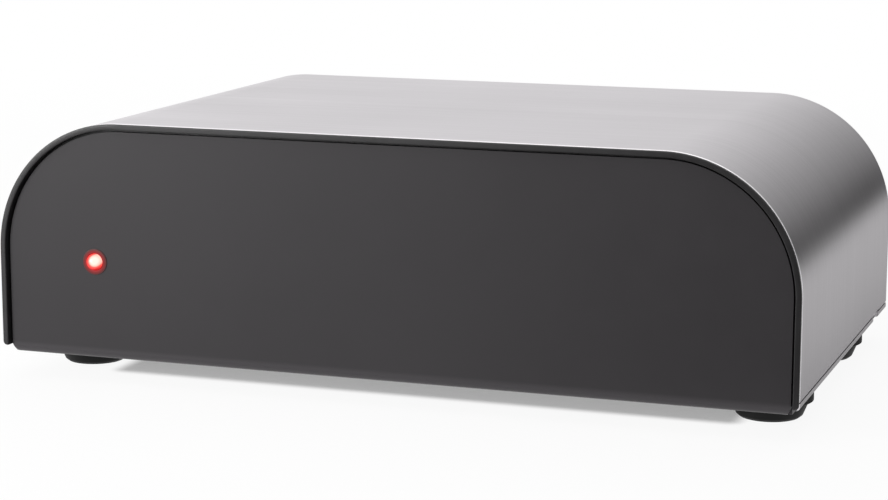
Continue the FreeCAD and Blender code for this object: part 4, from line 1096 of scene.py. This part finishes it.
def rear_flag_finish():
    """Dark at the right, fading away to the left by the angle around the case's long corner."""
    stage = Stage("rear_flag")
    across = stage.sum("SUBTRACT", stage.x, REAR_FLAG_CENTRE[0])
    up = stage.sum("SUBTRACT", stage.z, REAR_FLAG_CENTRE[1])
    angle = stage.sum("ARCTAN2", across, up)
    first, last = (math.radians(degrees) for degrees in REAR_FLAG_FADE)
    share = stage.sum("DIVIDE", stage.sum("SUBTRACT", angle, first), last - first)
    share = stage.sum("MINIMUM", stage.sum("MAXIMUM", share, 0.0), 1.0)
    share = stage.sum("POWER", share, REAR_FLAG_CURVE)
    return stage.blend(share, *flag_parts(stage))


def front_flag_finish():
    """Dark at the right, with a soft slanting left edge."""
    stage = Stage("front_flag")
    slant = stage.sum("MULTIPLY", stage.sum("ADD", stage.y, -FRONT), FRONT_FLAG_SLANT)
    beyond = stage.sum("SUBTRACT", stage.sum("SUBTRACT", stage.x, FRONT_FLAG_EDGE), slant)
    share = stage.spread(beyond, -FRONT_FLAG_SOFT, FRONT_FLAG_SOFT)
    return stage.blend(share, *flag_parts(stage))


def side_shade_flag_finish():
    """Painted shade on the floor beside the case, seen only in reflections: half dark beside the case, and
    clear some way to the right of it.
    """
    stage = Stage("side_flag")
    beyond = stage.sum("SUBTRACT", stage.x, HALF * MM)
    share = stage.spread(beyond, 0.0, SIDE_SHADE_REACH, SIDE_SHADE_SHARE, 0.0)
    return stage.blend(share, *flag_parts(stage))


def make_flag(name, left, right, path, finish):
    """A dark flag that only the gloss of the surfaces shows: strips along X, on a path of Y and Z."""
    bm = bmesh.new()
    rows = [[bm.verts.new((x, y, z)) for x in (left, right)] for y, z in path]
    for here, ahead in zip(rows, rows[1:]):
        bm.faces.new([here[0], here[1], ahead[1], ahead[0]])
    flag = to_object(bm, name)
    flag.data.materials.append(finish)
    flag.visible_camera = False
    flag.visible_diffuse = False
    flag.visible_shadow = False


def make_stage():
    """A wide pale floor, and three dark flags that the case mirrors."""
    bm = bmesh.new()
    bmesh.ops.create_grid(bm, x_segments=8, y_segments=8, size=FLOOR_HALF)
    floor = to_object(bm, "floor")
    floor.location.z = -FLOOR_GAP
    floor.data.materials.append(floor_finish())
    upright = ((REAR_FLAG_DEPTH, 0.0), (REAR_FLAG_DEPTH, 1.8))
    make_flag("rear_flag", -1.0, 2.4, upright, rear_flag_finish())
    upturned = ((-0.07, 0.0005), (-0.5, 0.0005), (-0.58, 0.03), (-0.6, 0.15))
    make_flag("front_flag", -0.3, 0.5, upturned, front_flag_finish())
    # A dark sheet lying on the floor to the right of the case, where the floor's shade would be: painted
    # shade that the cover's side mirrors.
    lying = ((-0.06, 0.0006), (0.4, 0.0006))
    make_flag("side_flag", 0.076, 0.2, lying, side_shade_flag_finish())


def make_world():
    """White where it is looked at, softer as the light that falls on things."""
    world = bpy.data.worlds.new("studio")
    bpy.context.scene.world = world
    world.use_nodes = True
    nodes, links = world.node_tree.nodes, world.node_tree.links
    nodes.clear()
    out = nodes.new("ShaderNodeOutputWorld")
    fill = nodes.new("ShaderNodeBackground")
    fill.inputs["Strength"].default_value = WORLD_LEVEL
    white = nodes.new("ShaderNodeBackground")
    white.inputs["Strength"].default_value = 1.0
    for shader in (fill, white):
        shader.inputs["Color"].default_value = (1, 1, 1, 1)
    mix = nodes.new("ShaderNodeMixShader")
    links.new(seen_directly(nodes, links), mix.inputs[0])
    links.new(fill.outputs["Background"], mix.inputs[1])
    links.new(white.outputs["Background"], mix.inputs[2])
    links.new(mix.outputs["Shader"], out.inputs["Surface"])


def soft_lamp(name, place, target, width, height, radiance):
    """A flat soft light of the given size and brightness that faces the target."""
    data = bpy.data.lights.new(name, "AREA")
    data.shape = "RECTANGLE"
    data.size = width
    data.size_y = height
    data.energy = radiance * math.pi * width * height
    lamp = bpy.data.objects.new(name, data)
    lamp.location = place
    lamp.visible_camera = False
    lamp.rotation_euler = (Vector(target) - Vector(place)).to_track_quat("-Z", "Y").to_euler()
    bpy.context.scene.collection.objects.link(lamp)


def make_camera():
    """The camera at the place and angle of the photograph."""
    data = bpy.data.cameras.new("view")
    data.lens, data.sensor_width = CAMERA_LENS, CAMERA_SENSOR
    data.clip_start = 0.01
    camera = bpy.data.objects.new("view", data)
    yaw, pitch, roll = (math.radians(degrees) for degrees in CAMERA_ANGLES)
    turn = (Matrix.Rotation(yaw, 4, "Z") @ Matrix.Rotation(math.pi / 2 - pitch, 4, "X")
            @ Matrix.Rotation(roll, 4, "Z"))
    camera.matrix_world = Matrix.Translation(at(*CAMERA_SPOT)) @ turn
    bpy.context.scene.collection.objects.link(camera)
    bpy.context.scene.camera = camera


bpy.context.scene.view_settings.view_transform = "Standard"
make_camera()
make_world()
for lamp_plan in LAMPS:
    soft_lamp(*lamp_plan)
make_stage()
build_object()
